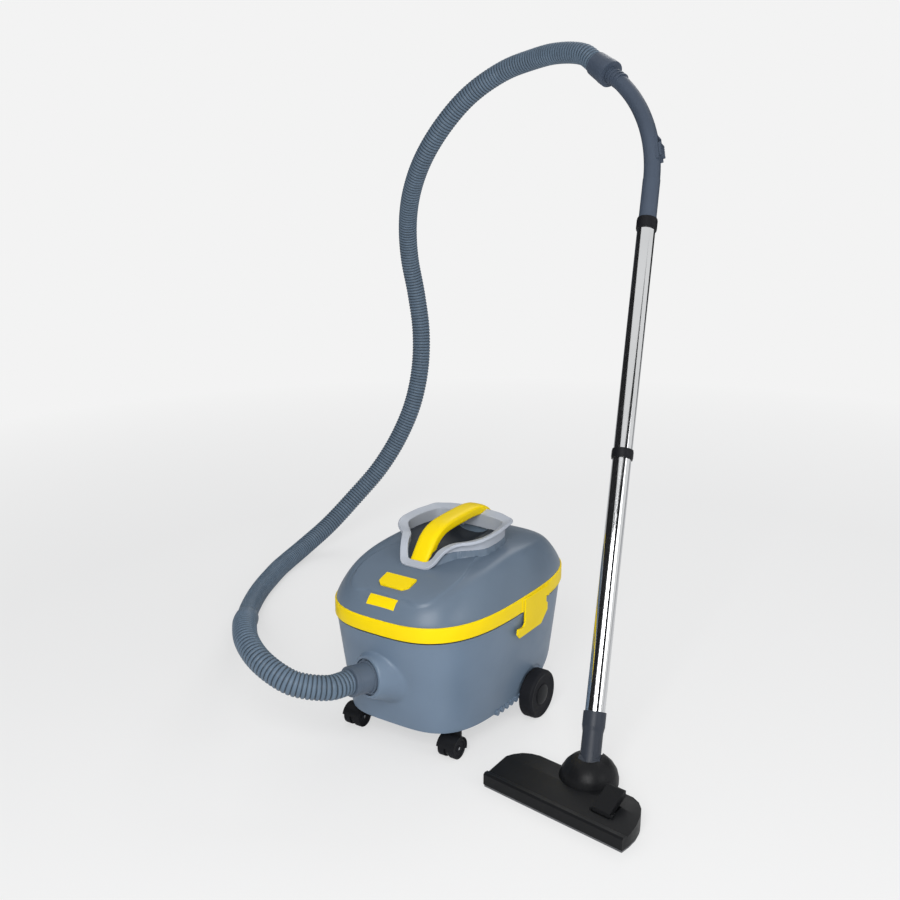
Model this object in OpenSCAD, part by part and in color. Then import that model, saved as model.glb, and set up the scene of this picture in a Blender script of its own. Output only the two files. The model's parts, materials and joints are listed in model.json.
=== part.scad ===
// Canister vacuum cleaner: wheeled tub with a lift-off motor head, ribbed hose,
// two-piece wand and a floor head. Millimetres, +Z up, standing on the floor at z = 0.
// Each part is drawn in the canister's frame: its middle line is x = 0 and its inlet faces -Y.

/* [Canister] */
// Width of the tub at its rim
tub_w = 314; // [306:1:322]
// Length of the tub at its rim
tub_l = 462; // [452:1:472]
// Height of the tub's rim above the floor
rim_z = 232; // [226:1:240]
// Height of the tub's lower edge above the floor
tub_z = 49; // [47:1:51]
// Width of the tub at its lower edge
foot_w = 274; // [268:1:280]
// Length of the tub at its lower edge
foot_l = 388; // [378:1:398]
// Thickness of the moulded walls
wall = 3; // [2.5:0.25:3.5]
// Height of the tub's underside at its tail
tail_z = 84; // [76:1:90]

/* [Lid] */
// Height of the coloured band round the lid's rim
band_h = 28; // [26:1:32]
// Rise of the lid's crown above the band
dome_h = 71; // [66:1:78]
// Step of the raised saddle on the lid
saddle_rise = 3; // [2:0.5:5]
// Width of the carry handle
handle_w = 38; // [32:1:44]
// Thickness of the carry handle
handle_t = 21; // [18:1:24]
// Height of the carry handle's grip centre above the lid's band
grip_rise = 112; // [109:1:118]
// Width of the switch button
button_w = 64; // [56:1:68]
// Travel of the switch button
button_travel = 3; // [2:0.5:4]

/* [Wheels] */
// Radius of a rear wheel
wheel_r = 46; // [44:1:48]
// Tread width of a rear wheel
wheel_w = 28; // [24:1:32]
// Radius of the rear axle
axle_r = 5; // [4:0.5:6]
// Radius of a caster wheel
caster_r = 19; // [17:0.5:20]
// Radius of a caster's stem
stem_r = 5; // [4:0.5:5.5]

/* [Hose] */
// Outer diameter over the hose's ribs
hose_d = 44; // [42:1:46]
// Diameter of the hose's bore
hose_bore = 35; // [32:1:36]
// Depth of the groove between two ribs
rib_depth = 2.5; // [1.5:0.5:3]
// Number of ribs along the hose
rib_count = 180; // [100:1:200]

/* [Wand] */
// Outer diameter of the metal tubes
tube_d = 34; // [32:0.5:35]
// Wall of the metal tubes
tube_wall = 1; // [0.8:0.1:1.4]
// Outer diameter of the bent handle
grip_d = 32; // [30:0.5:33]
// Travel of the air slide along the bent handle
slide_travel = 12; // [8:1:14]

/* [Floor head] */
// Width of the floor head
head_w = 285; // [270:1:300]
// Depth of the floor head from front edge to back edge
head_d = 100; // [96:1:106]
// Height of the floor head's front lip
lip_h = 26; // [24:1:29]
// Radius of the swivel turret
turret_r = 50; // [47:1:54]
// Drop of the brush strips when the pedal is pressed
brush_drop = 5; // [3:0.5:6]

/* [Fits] */
// Radial clearance of a shaft that turns in a bore
run_gap = 0.05; // [0.02:0.01:0.1]
// Clearance between pieces that move past each other
move_gap = 0.5; // [0.4:0.1:0.8]
// Clearance between pieces that stay together
seat_gap = 0.2; // [0.1:0.05:0.3]

/* [Hidden] */
$fn = 64;
eps = 0.01;

// Floor point under the middle of the whole machine, from the canister's middle line
centre_x = 163.45;
centre_y = 148.91;

// ---- Outline of tub and lid: a superellipse, drawn in towards the floor by the draft ----
rim_n = 3.02;           // squareness of the outline at the rim
foot_n = 3.6;           // and at the tub's lower edge
body_y = 0;             // middle of the tub's length
outline_count = 52;
seal_h = 3;
band_z = rim_z + seal_h;
band_top = band_z + band_h;
band_out = 3.5;         // how far the band stands out past the tub's rim
band_t = 11;            // width of the band's ring
lip_out = 0.8;          // moulded lip round the tub's rim

function signed_pow(v, p) = sign(v) * pow(abs(v), p);
function outline(hw, hl, count = outline_count, n = rim_n) = [
    for (i = [0:count - 1]) let (a = 360 * i / count)
        [hw * signed_pow(cos(a), 2 / n), body_y + hl * signed_pow(sin(a), 2 / n)]
];
function up_tub(z) = (z - tub_z) / (rim_z - tub_z);
function tub_hw(z) = (foot_w + (tub_w - foot_w) * up_tub(z)) / 2;
function tub_hl(z) = (foot_l + (tub_l - foot_l) * up_tub(z)) / 2;
function tub_n(z) = foot_n + (rim_n - foot_n) * up_tub(z);
function ring(points2d, z) = [for (p = points2d) [p.x, p.y, z]];

// ---- Inlet ----
inlet_x = -12;
inlet_z = 150;
inlet_turn = 16;        // the inlet looks a little to the left, where the hose leaves
inlet_y = body_y - tub_hl(inlet_z);
inlet_tilt = 4;
connector_out = 62;     // from the tub's front to the end of the hose's collar
boss_r = 38;
boss_out = 25;          // face of the boss round the inlet
boss_in = 34;
boss_flare = 0.36;      // growth of the boss's radius for each millimetre back to the tub
socket_r = 27;
socket_in = 20;
spigot_r = 24;

// ---- Wheels ----
wheel_y = 57;
wheel_gap = 2.5;
wheel_in = tub_hw(tub_z) + wheel_gap;
caster_x = foot_w / 2 - 32;
caster_y = -143;
caster_trail = 15;
sleeve_t = 1.5;
caster_wheel_w = 13;
web_t = 8;              // middle web of a caster, between its two wheels
hood_gap = 1.2;
caster_top = tub_z - move_gap;
hood_top = 2 * caster_r + hood_gap + 1;
stem_h = 32;            // height of a caster's stem above the tub's lower edge
stem_top = tub_z + stem_h;

// ---- Surface of the lid: a slightly crowned top that rolls over into a steep flank ----
lid_hw = tub_w / 2 + 1;
lid_hl = tub_l / 2 + 1;
crown_v = 0.08;         // the crown lies this share of the half length behind the middle
crown_fall = 0.54;      // fall of the top towards the front and the rear
flank_rise = 2.96;      // steepness of the flank above the rim
flank_n = 0.74;         // roundness of the flank
function lid_top(v, h) = h * (1 - crown_fall * pow(v - crown_v, 2));
function lid_flank(r, h) = max(eps, flank_rise * h * pow(max(0, 1 - r), flank_n));
function lid_rise(x, y, hw, hl, h) =
    let (v = (y - body_y) / hl,
         r = pow(pow(abs(x) / hw, rim_n) + pow(abs(v), rim_n), 1 / rim_n))
    pow(pow(lid_flank(r, h), -8) + pow(lid_top(v, h), -8), -1 / 8);
function lid_z(x, y) = band_top + lid_rise(x, y, lid_hw, lid_hl, dome_h);
function ease(t) = let (u = min(1, max(0, t))) u * u * (3 - 2 * u);
function saddle_lift(y) = saddle_rise * (1 - ease((y - 10) / 90));

// ---- Motor ----
motor_y = 10;
plate_t = 4;
plate_z = band_z + 2;
housing_z = plate_z + plate_t;
housing_r = 60;
housing_h = 26;
motor_r = 42;
motor_h = 44;
shaft_r = 4;
fan_r = 50;
filter_r = 50;

// ---- Switch ----
button_y = -170;
button_tilt = 17;
button_z = lid_z(0, button_y) + saddle_lift(button_y);

// ---- Latches: drawn in a frame on the tub's rim, x outwards and y along the rim ----
latch_y = 36;           // middle of a latch
latch_half = 42;
pin_r = 1.5;
barrel_r = 3.5;
latch_x = 1.2;          // inside face of a latch, clear of the tub's rim
latch_axis_z = band_top - 7;
latch_z = 190;
hook_z = 200;
hook_h = 4.6;
hook_in = tub_w / 2 - tub_hw(hook_z) - move_gap;    // reach of the hook towards the drafted side
catch_z = hook_z + hook_h + move_gap;
function rim_x(y) = tub_w / 2 * pow(1 - pow(abs(y - body_y) / (tub_l / 2), rim_n), 1 / rim_n);
latch_turn = atan((rim_x(latch_y - latch_half) - rim_x(latch_y + latch_half)) / (2 * latch_half));

// ---- Wand and handle ----
pivot = [363, -130, 52];
wand_lean = 32;
lean_max = 75;          // furthest the wand can be laid back from upright
wand_turn = 19;
neck_s = 88;            // end of the neck, from the pivot along the wand
socket_depth = 22;
joint_s = 540;          // where the two tubes meet
handle_s = 993;         // where the bent handle begins
grip_straight = 85;
grip_turn = 160;
bend_r = 344;
bend_angle = 48;
cuff_len = 48;
slide_s = 1085;

// ---- Floor head ----
head_turn = -8.9;
head_back = 105;        // from the front edge to the turret's centre
sole_t = 4;
deck_h = 33;
turret_z = 23;
turret_top = 68;
knuckle_r = 17.5;
knuckle_w = 36;
cheek_pin_r = 4;
swivel_r = 20;
brush_v = [17, 63];
brush_half = head_w / 2 - 22.5;   // half length of a brush strip's slot in its carrier
cavity = [brush_half + 3, 9, 72, 21];   // half width, front, back and roof of the suction chamber
roller_r = 8;
roller_u = 84;
roller_v = 86;
pedal_u = 78;
pedal_w = 34;
pedal_v = 36;
pedal_z = 27;

// ---- Placing ----
module stand() translate([-centre_x, -centre_y, 0]) children();
module at_inlet() translate([inlet_x, inlet_y, inlet_z]) rotate([0, 0, -inlet_turn])
    rotate([90 - inlet_tilt, 0, 0]) children();
module at_wand(s) translate(pivot) rotate([0, 0, wand_turn]) rotate([-wand_lean, 0, 0])
    translate([0, 0, s]) children();
module at_bend() at_wand(handle_s + grip_straight) rotate([0, 0, grip_turn]) children();
module at_cuff() at_bend() translate([bend_r * (1 - cos(bend_angle)), 0, bend_r * sin(bend_angle)])
    rotate([0, bend_angle, 0]) children();
module at_turret() translate([pivot.x, pivot.y, 0]) rotate([0, 0, wand_turn]) children();
module at_head() translate([pivot.x, pivot.y, 0]) rotate([0, 0, head_turn])
    translate([0, -head_back, 0]) children();
module at_button() translate([0, button_y, button_z]) rotate([button_tilt, 0, 0]) children();
module on_side(side) mirror([side < 0 ? 1 : 0, 0, 0]) children();
module both_sides() for (side = [-1, 1]) on_side(side) children();
module at_latch() translate([rim_x(latch_y), latch_y, 0]) rotate([0, 0, latch_turn]) children();

// ---- Lofts ----
// A closed solid through rings of equal count, each anticlockwise seen from the next one
module loft(rings) {
    n = len(rings[0]);
    last = (len(rings) - 1) * n;
    sides = [for (j = [0:len(rings) - 2], i = [0:n - 1]) let (k = (i + 1) % n, a = j * n, b = a + n)
        each [[a + i, b + i, b + k], [a + i, b + k, a + k]]];
    polyhedron(
        [for (r = rings) each r],
        concat(sides, [[for (i = [0:n - 1]) i]], [[for (i = [n - 1:-1:0]) last + i]])
    );
}
// A closed loop of rings, each anticlockwise seen from the next one
module loop_loft(rings) {
    n = len(rings[0]);
    m = len(rings);
    polyhedron(
        [for (r = rings) each r],
        [for (j = [0:m - 1], i = [0:n - 1]) let (k = (i + 1) % n, a = j * n, b = ((j + 1) % m) * n)
            each [[a + i, b + i, b + k], [a + i, b + k, a + k]]]
    );
}
// A tube between an outer and an inner stack of rings of equal count
module tube_loft(outer, inner) {
    n = len(outer[0]);
    p = len(outer);
    q = len(inner);
    base = p * n;
    skin = [for (j = [0:p - 2], i = [0:n - 1]) let (k = (i + 1) % n, a = j * n, b = a + n)
        each [[a + i, b + i, b + k], [a + i, b + k, a + k]]];
    bore = [for (j = [0:q - 2], i = [0:n - 1]) let (k = (i + 1) % n, a = base + j * n, b = a + n)
        each [[a + i, b + k, b + i], [a + i, a + k, b + k]]];
    front = [for (i = [0:n - 1]) let (k = (i + 1) % n)
        each [[i, k, base + k], [i, base + k, base + i]]];
    o = (p - 1) * n;
    t = base + (q - 1) * n;
    back = [for (i = [0:n - 1]) let (k = (i + 1) % n)
        each [[o + i, t + k, o + k], [o + i, t + i, t + k]]];
    polyhedron([for (r = outer) each r, for (r = inner) each r], concat(skin, bore, front, back));
}
function unit(v) = v / norm(v);
function flat_to(v, t) = unit(v - (v * t) * t);
// The ring of a 2D shape set square to direction t at point p, its first axis along a
function ring_at(p, t, a, shape) = [for (q = shape) p + q.x * a + q.y * cross(t, a)];
function circle_points(r, count) = [for (i = [0:count - 1]) r * [cos(360 * i / count), sin(360 * i / count)]];
function rounded_box(hw, hh, count, n) = [for (i = [0:count - 1]) let (a = 360 * (i + 0.5) / count)
    [hw * signed_pow(cos(a), 2 / n), hh * signed_pow(sin(a), 2 / n)]];
// A smooth curve through points, passed at the pace of their distances
function knots(p) = [for (i = 0, s = 0; i < len(p);
    s = s + (i + 1 < len(p) ? norm(p[i + 1] - p[i]) : 0), i = i + 1) s];
function slopes(p, k, first, last) = [for (i = [0:len(p) - 1])
    i == 0 ? first : i == len(p) - 1 ? last : (p[i + 1] - p[i - 1]) / (k[i + 1] - k[i - 1])];
function hermite(a, b, ma, mb, h, t) =
    (2 * t * t * t - 3 * t * t + 1) * a + (t * t * t - 2 * t * t + t) * h * ma
    + (3 * t * t - 2 * t * t * t) * b + (t * t * t - t * t) * h * mb;
function smooth_path(p, steps, first, last) =
    let (k = knots(p), m = slopes(p, k, first, last))
    [for (i = [0:len(p) - 2], s = [0:steps - 1])
        hermite(p[i], p[i + 1], m[i], m[i + 1], k[i + 1] - k[i], s / steps), p[len(p) - 1]];
// Points at equal spacing along a dense path
function spaced(p, count) =
    let (k = knots(p), total = k[len(k) - 1])
    [for (i = 0, j = 0; i <= count;
        i = i + 1, j = next_leg(k, j, total * i / count))
        let (s = total * i / count, g = next_leg(k, j, s), f = (s - k[g]) / (k[g + 1] - k[g]))
        p[g] + min(1, max(0, f)) * (p[g + 1] - p[g])];
function next_leg(k, j, s) = j < len(k) - 2 && k[j + 1] < s ? next_leg(k, j + 1, s) : j;
function headings(p, first, last) = [for (i = [0:len(p) - 1])
    i == 0 ? first : i == len(p) - 1 ? last : unit(p[i + 1] - p[i - 1])];
// A side direction carried along the path without twisting about it
function carried(t, a) = [for (i = 0, v = flat_to(a, t[0]); i < len(t);
    i = i + 1, v = i < len(t) ? flat_to(v, t[i]) : v) v];

// ---- Tub ----
module tub_body(shrink) {
    low = tub_z - foot_h;
    high = rim_z + (shrink > 0 ? 1 : 0);
    loft([for (z = [low, high])
        ring(outline(tub_hw(z) - shrink, tub_hl(z) - shrink, outline_count, tub_n(z)), z)]);
}
// Side view of the tub: level under the front, rising at the tail
function side_profile(lift) = [
    [-tub_l, rim_z + 5], [-tub_l, tub_z + lift], [wheel_y + 24, tub_z + lift],
    [wheel_y + 62, tail_z - 12 + lift], [wheel_y + 90, tail_z + lift], [tub_l, tail_z + lift],
    [tub_l, rim_z + 5]
];
module across(points, half) rotate([90, 0, 90]) translate([0, 0, -half]) linear_extrude(2 * half)
    polygon(points);
axle_floor = wheel_r + axle_r + 5;
module boss_cone(shrink, top) translate([0, 0, -boss_in]) cylinder(h = boss_in + top,
    r1 = boss_r + boss_flare * (boss_out + boss_in) - shrink,
    r2 = boss_r + boss_flare * (boss_out - top) - shrink);
module tub_outside() {
    intersection() {
        tub_body(0);
        across(side_profile(0), tub_w);
    }
    at_inlet() boss_cone(0, boss_out);
}
module tub_cavity() {
    intersection() {
        tub_body(wall);
        across(side_profile(wall), tub_w);
    }
    at_inlet() boss_cone(wall, boss_out - recess - wall);
}
recess = 6;             // depth of the recess the connector's flange sits in
module boss_bore() at_inlet() {
    translate([0, 0, boss_out - recess]) cylinder(r = socket_r + 6, h = 60);
    translate([0, 0, -70]) cylinder(r = socket_r + seat_gap, h = 120);
}
module latch_catch() {
    foot = tub_hw(hook_z) - tub_w / 2 - 4;
    side = [[foot, catch_z - 1], [latch_x - 1, catch_z], [latch_x - 1, catch_z + 4], [foot, catch_z + 10]];
    at_latch() translate([0, latch_half - 13, 0]) rotate([90, 0, 0])
        linear_extrude(2 * latch_half - 26) polygon(side);
}
module rim_lip() difference() {
    translate([0, 0, rim_z - 4]) linear_extrude(4)
        polygon(outline(tub_w / 2 + lip_out, tub_l / 2 + lip_out));
    both_sides() at_latch() translate([-0.5, -latch_half - 2, rim_z - 5])
        cube([10, 2 * latch_half + 4, 10]);
}
module floor_stiffening() intersection() {
    tub_body(wall / 2);
    union() {
        both_sides() translate([caster_x, caster_y, tub_z]) cylinder(r = stem_r + 6, h = stem_top + 2 - tub_z);
        translate([-tub_w / 2, wheel_y - 14, axle_floor - wall]) cube([tub_w, 28, wall]);
        for (y = [wheel_y - 14, wheel_y + 14 - wall])
            translate([-tub_w / 2, y, tub_z]) cube([tub_w, wall, axle_floor - tub_z]);
    }
}
// Row of short feet under each side edge, ahead of the wheels
foot_from = -62;
foot_pitch = 16;
foot_count = 6;
foot_h = 4;
module side_feet() intersection() {
    tub_body(0);
    both_sides() for (i = [0:foot_count - 1])
        translate([tub_hw(tub_z) - 16, foot_from + i * foot_pitch, tub_z - foot_h]) cube([20, 8, foot_h + 1]);
}
// Flat wells for the rear wheels, closed behind, and the bosses the axle runs through
well_r = wheel_r + 6;
module wheel_backs() intersection() {
    tub_body(wall / 2);
    both_sides() translate([wheel_in - wheel_gap, wheel_y, wheel_r]) rotate([0, 90, 0]) {
        translate([0, 0, -wall]) cylinder(r = well_r + wall, h = 30);
        translate([0, 0, -14]) cylinder(r = axle_r + 5, h = 20);
    }
}
module wheel_wells() both_sides() translate([wheel_in - wheel_gap, wheel_y, wheel_r]) rotate([0, 90, 0])
    cylinder(r = well_r, h = 30);
module tub() {
    color("#667789") stand() difference() {
        union() {
            difference() {
                union() {
                    tub_outside();
                    rim_lip();
                    both_sides() latch_catch();
                }
                tub_cavity();
            }
            floor_stiffening();
            wheel_backs();
            side_feet();
        }
        boss_bore();
        wheel_wells();
        translate([-tub_hw(tub_z) + 14, wheel_y - 11, tub_z - 2])
            cube([2 * tub_hw(tub_z) - 28, 22, axle_floor - wall - tub_z + 2]);
        translate([-tub_w / 2, wheel_y, wheel_r]) rotate([0, 90, 0]) cylinder(r = axle_r + seat_gap, h = tub_w);
        both_sides() translate([caster_x, caster_y, tub_z - 1])
            cylinder(r = stem_r + sleeve_t + seat_gap, h = stem_top - tub_z + 1);
    }
}
module rim_seal() {
    color("#202224") stand() translate([0, 0, rim_z]) linear_extrude(seal_h - seat_gap) difference() {
        polygon(outline(tub_w / 2 - 1, tub_l / 2 - 1));
        polygon(outline(tub_w / 2 - 7, tub_l / 2 - 7));
    }
}
module inlet_socket() {
    color("#4d5a68") stand() at_inlet() difference() {
        union() {
            translate([0, 0, -socket_in]) cylinder(r = socket_r, h = socket_in + boss_out - 4);
            translate([0, 0, boss_out - 5.8]) cylinder(r = socket_r + 5, h = 2);
        }
        translate([0, 0, -socket_in - 1]) cylinder(r = spigot_r + seat_gap, h = socket_in + boss_out);
    }
}
collar_w = 64;
collar_h = 76;
collar_t = 3;
module bag_collar() {
    color("#b9a98a") stand() at_inlet() translate([0, 0, -socket_in - collar_t]) difference() {
        translate([-collar_w / 2, -collar_h / 2, 0]) cube([collar_w, collar_h, collar_t]);
        translate([0, 0, -1]) cylinder(r = 20, h = collar_t + 2);
    }
}
// Soft bag: a crowned cushion that lies on the axle channel with its front at the collar
bag_top = 176;
bag_front = inlet_y + (socket_in + collar_t) * cos(inlet_turn) * cos(inlet_tilt)
    + collar_w / 2 * sin(inlet_turn) + collar_h / 2 * sin(inlet_tilt) + seat_gap;
module dust_bag() {
    low = axle_floor + seat_gap;
    mid = (low + bag_top) / 2;
    hw = caster_x - stem_r - 12;
    back = wheel_y + 60;
    hl = (back - bag_front) / 2;
    color("#d8cdb4") stand() translate([0, (bag_front + back) / 2 - body_y, 0])
        loft([for (a = [-80:20:80]) let (f = 0.75 + 0.25 * cos(a))
            ring(outline(hw * f, hl * f, 32), mid + (bag_top - low) / 2 * sin(a) / sin(80))]);
}

// ---- Rear wheels ----
module rear_axle() {
    half = wheel_in + wheel_w;
    color("#b8bcc0") stand() translate([-half, wheel_y, wheel_r]) rotate([0, 90, 0])
        cylinder(r = axle_r, h = 2 * half);
}
module at_wheel(side) translate([side * wheel_in, wheel_y, wheel_r]) rotate([0, side * 90, 0]) children();
module wheel(side) {
    color("#232428") stand() at_wheel(side) difference() {
        rotate_extrude($fn = 96) polygon([
            [axle_r + run_gap, 0], [14, 0], [16, 4], [wheel_r - 14, 4], [wheel_r - 11, 1], [wheel_r - 2, 1],
            [wheel_r, 3.5], [wheel_r, wheel_w - 6], [wheel_r - 1.5, wheel_w - 2.5],
            [wheel_r - 5, wheel_w - 0.5], [wheel_r - 9, wheel_w - 1.5], [wheel_r - 14, wheel_w - 3],
            [20, wheel_w - 3], [20, wheel_w - 6],
            [axle_r + run_gap, wheel_w - 6]
        ]);
        for (i = [0:5]) rotate([0, 0, 60 * i]) translate([27, 0, -1]) cylinder(r = 6, h = wheel_w - 8);
    }
}
module wheel_left() wheel(-1);
module wheel_right() wheel(1);
module hubcap(side) {
    color("#2c2e33") stand() at_wheel(side) difference() {
        translate([0, 0, wheel_w - 6 + seat_gap]) rotate_extrude()
            polygon([[0, 0.5], [axle_r + 1, 0.5], [axle_r + 1, 0], [19.6, 0], [19.6, 4], [15, 6.2],
                [8, 7.2], [0, 7.5]]);
        translate([0, 0, -1]) cylinder(r = axle_r + run_gap, h = wheel_w + 1.8);
    }
}
module hubcap_left() hubcap(-1);
module hubcap_right() hubcap(1);

// ---- Casters ----
module caster_sockets() {
    color("#9a9fa5") stand() both_sides() translate([caster_x, caster_y, tub_z]) rotate_extrude()
        polygon([[stem_r + run_gap, 0], [stem_r + sleeve_t, 0], [stem_r + sleeve_t, stem_top - tub_z],
            [stem_r + run_gap, stem_top - tub_z]]);
}
module at_caster(side) translate([side * caster_x, caster_y, 0]) children();
module across_x(r, from, to) translate([from, -caster_trail, caster_r]) rotate([0, 90, 0])
    cylinder(r = r, h = to - from);
caster_half = web_t / 2 + move_gap + caster_wheel_w;
module caster_fork(side) {
    color("#26282c") stand() at_caster(side) {
        difference() {
            union() {
                across_x(caster_r + hood_gap + 2, -caster_half - 1, caster_half + 1);
                translate([0, 0, caster_r + 6]) cylinder(r = stem_r + 5, h = caster_top - caster_r - 6);
            }
            for (s = [-1, 1]) across_x(caster_r + hood_gap, s < 0 ? -caster_half - 3 : web_t / 2,
                s < 0 ? -web_t / 2 : caster_half + 3);
            translate([-50, -caster_trail - 50, -50]) cube([100, 50 + caster_r * 0.4, 50 + caster_r + 5]);
            translate([-50, -caster_trail, -50]) cube([100, 100, 50 + caster_r - 7]);
            across_x(3 - seat_gap / 2, -40, 40);
        }
        difference() {
            across_x(caster_r - 3, -web_t / 2, web_t / 2);
            across_x(3 + seat_gap / 4, -40, 40);
        }
        translate([0, 0, hood_top]) cylinder(r = stem_r, h = stem_top - hood_top);
    }
}
module caster_fork_left() caster_fork(-1);
module caster_fork_right() caster_fork(1);
module caster_axle(side) color("#b8bcc0") stand() at_caster(side)
    across_x(3, -caster_half + 1, caster_half - 1);
module caster_axle_left() caster_axle(-1);
module caster_axle_right() caster_axle(1);
module caster_wheels(side) {
    from = web_t / 2 + move_gap;
    color("#1d1e21") stand() at_caster(side) both_sides() difference() {
        across_x(caster_r, from, from + caster_wheel_w);
        across_x(3 + run_gap, from - 1, from + caster_wheel_w + 1);
        difference() {
            across_x(caster_r - 4, from + caster_wheel_w - 2, from + caster_wheel_w + 1);
            across_x(6, from, from + caster_wheel_w + 1);
        }
    }
}
module caster_wheels_left() caster_wheels(-1);
module caster_wheels_right() caster_wheels(1);

// ---- Lid ----
lid_steps = [1, 0.99, 0.97, 0.94, 0.91, 0.88, 0.84, 0.8, 0.76, 0.71, 0.64, 0.54, 0.4, 0.24, 0.08];
module dome_solid(shrink, lift, steps) {
    hw = lid_hw - shrink;
    hl = lid_hl - shrink;
    loft(concat(
        [ring(outline(hw, hl), band_top - (shrink > 0 ? 1 : 0))],
        [for (r = steps) [for (p = outline(hw * r, hl * r))
            [p.x, p.y, band_top + eps + lid_rise(p.x, p.y, hw, hl, dome_h - shrink)
                + (lift ? saddle_lift(p.y) : 0)]]]
    ));
}
saddle_side = [[0, -204], [40, -203], [65, -207], [84, -194], [94, -163], [98, -131], [94, -96], [84, -62],
    [82, -22], [80, 40], [66, 98], [0, 104]];
module saddle_outline() {
    half = smooth_path(saddle_side, 2, [1, 0], [-1, 0]);
    polygon(concat(half, [for (i = [len(half) - 2:-1:1]) [-half[i].x, half[i].y]]));
}
module button_outline(grow) intersection() {
    translate([-button_w / 2 - grow, -20 - grow]) square([button_w + 2 * grow, 34 + 2 * grow]);
    translate([0, 12]) circle(r = 39 + grow);
}
post_x = button_w / 2 + 9;
switch_z = -19;         // seat of the switch below the button's face
vent_y = body_y + lid_hl;
// Hand hollow under the carry handle
hollow_r = 60;
hollow_z = band_top + dome_h - 8;
module plateau() {
    inner = frame_points(0);
    outer = frame_points(1);
    side = [[-130, band_top + 40], [-112, frame_z], [-90, plateau_z - 3], [-78, plateau_z], [112, plateau_z],
        [128, band_top + 40]];
    intersection() {
        linear_extrude(plateau_z + 10) union() {
            polygon([for (i = [0:len(inner) - 1]) let (w = outer[i] - inner[i])
                [inner[i].x, inner[i].y] + 5 * unit([w.x, w.y])]);
            translate([-handle_w / 2 - 5, 40]) square([handle_w + 10, 84]);
        }
        across(side, 110);
    }
}
module hand_hollow(r) {
    for (y = [-35, 45]) translate([0, y, hollow_z + hollow_r]) sphere(r = r, $fn = 48);
    translate([0, -35, hollow_z + hollow_r]) rotate([-90, 0, 0]) cylinder(r = r, h = 80, $fn = 48);
}
module lid_shell() {
    color("#6b7a88") stand() difference() {
        union() {
            dome_solid(0, false, lid_steps);
            intersection() {
                dome_solid(0, true, lid_steps);
                translate([0, 0, band_top]) linear_extrude(dome_h + 20) saddle_outline();
            }
            plateau();
        }
        difference() {
            dome_solid(wall, false, [1, 0.94, 0.87, 0.81, 0.76, 0.67, 0.5, 0.2]);
            hand_hollow(hollow_r + wall);
            at_button() for (s = [-1, 1]) translate([s * post_x, 0, switch_z]) cylinder(r = 4, h = 40);
        }
        hand_hollow(hollow_r);
        at_button() translate([0, 0, -15]) linear_extrude(40) button_outline(move_gap);
        for (i = [-5:5]) translate([i * 8 - 2, vent_y - 30, band_top + 8]) cube([4, 60, 20]);
    }
}
flange_in = 18;         // inner edge of the band's flange, in from the tub's rim
module rim_band() {
    outer = outline(tub_w / 2 + band_out, tub_l / 2 + band_out);
    color("#f4d808") stand() difference() {
        union() {
            translate([0, 0, band_z]) linear_extrude(band_h) difference() {
                polygon(outer);
                polygon(outline(tub_w / 2 + band_out - band_t, tub_l / 2 + band_out - band_t));
            }
            translate([0, 0, housing_z + seat_gap]) linear_extrude(plate_t) difference() {
                polygon(outline(tub_w / 2, tub_l / 2));
                polygon(outline(tub_w / 2 - flange_in, tub_l / 2 - flange_in));
            }
            both_sides() at_latch() translate([-6, -latch_half - 8, band_z + 1])
                cube([6 + band_out, 2 * latch_half + 16, band_h - 1]);
        }
        both_sides() at_latch() {
            translate([latch_x - move_gap, -latch_half - move_gap, band_z - 1])
                cube([20, 2 * (latch_half + move_gap), latch_axis_z + barrel_r + 2 * move_gap - band_z + 1]);
            translate([latch_x, 0, latch_axis_z]) rotate([90, 0, 0])
                cylinder(r = barrel_r + move_gap, h = 2 * (latch_half + move_gap), center = true);
            translate([latch_x, 0, latch_axis_z]) rotate([90, 0, 0])
                cylinder(r = pin_r + seat_gap / 2, h = 2 * latch_half + 12, center = true);
        }
        at_screws() translate([0, 0, housing_z]) cylinder(r = 2 + seat_gap / 2, h = 10, $fn = 24);
        at_gland() cylinder(r = gland_r + seat_gap, h = 40, center = true);
    }
}
screw_in = (band_t - band_out + flange_in) / 2;     // screws sit in the middle of the band's flange
module at_screws() for (a = [30:60:330])
    translate([(tub_w / 2 - screw_in) * signed_pow(cos(a), 2 / rim_n),
        body_y + (tub_l / 2 - screw_in) * signed_pow(sin(a), 2 / rim_n), 0]) children();
plate_in = band_t - band_out + seat_gap;            // the plate lies inside the band's ring
module motor_plate() {
    color("#2b2d31") stand() difference() {
        translate([0, 0, plate_z]) linear_extrude(plate_t)
            polygon(outline(tub_w / 2 - plate_in, tub_l / 2 - plate_in));
        translate([0, motor_y, plate_z - 1]) cylinder(r = filter_r - 8, h = plate_t + 2);
        at_screws() translate([0, 0, plate_z - 1]) cylinder(r = 2 + seat_gap, h = plate_t + 2, $fn = 24);
    }
}
module plate_screws() {
    color("#b8bcc0") stand() at_screws() {
        translate([0, 0, plate_z - 2.4]) cylinder(r = 4, h = 2.3, $fn = 24);
        translate([0, 0, plate_z - 1]) cylinder(r = 2, h = plate_t + 4, $fn = 24);
    }
}
module fan_housing() {
    color("#3a3d42") stand() translate([0, motor_y, housing_z]) difference() {
        cylinder(r = housing_r, h = housing_h);
        translate([0, 0, -1]) cylinder(r = 28, h = 10);
        translate([0, 0, 3]) cylinder(r = housing_r - 4, h = housing_h - 6);
        cylinder(r = shaft_r + 3, h = housing_h + 1);
        for (i = [0:5]) rotate([0, 0, 60 * i]) translate([housing_r - 8, -14, 7])
            cube([20, 28, housing_h - 14]);
    }
}
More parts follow.
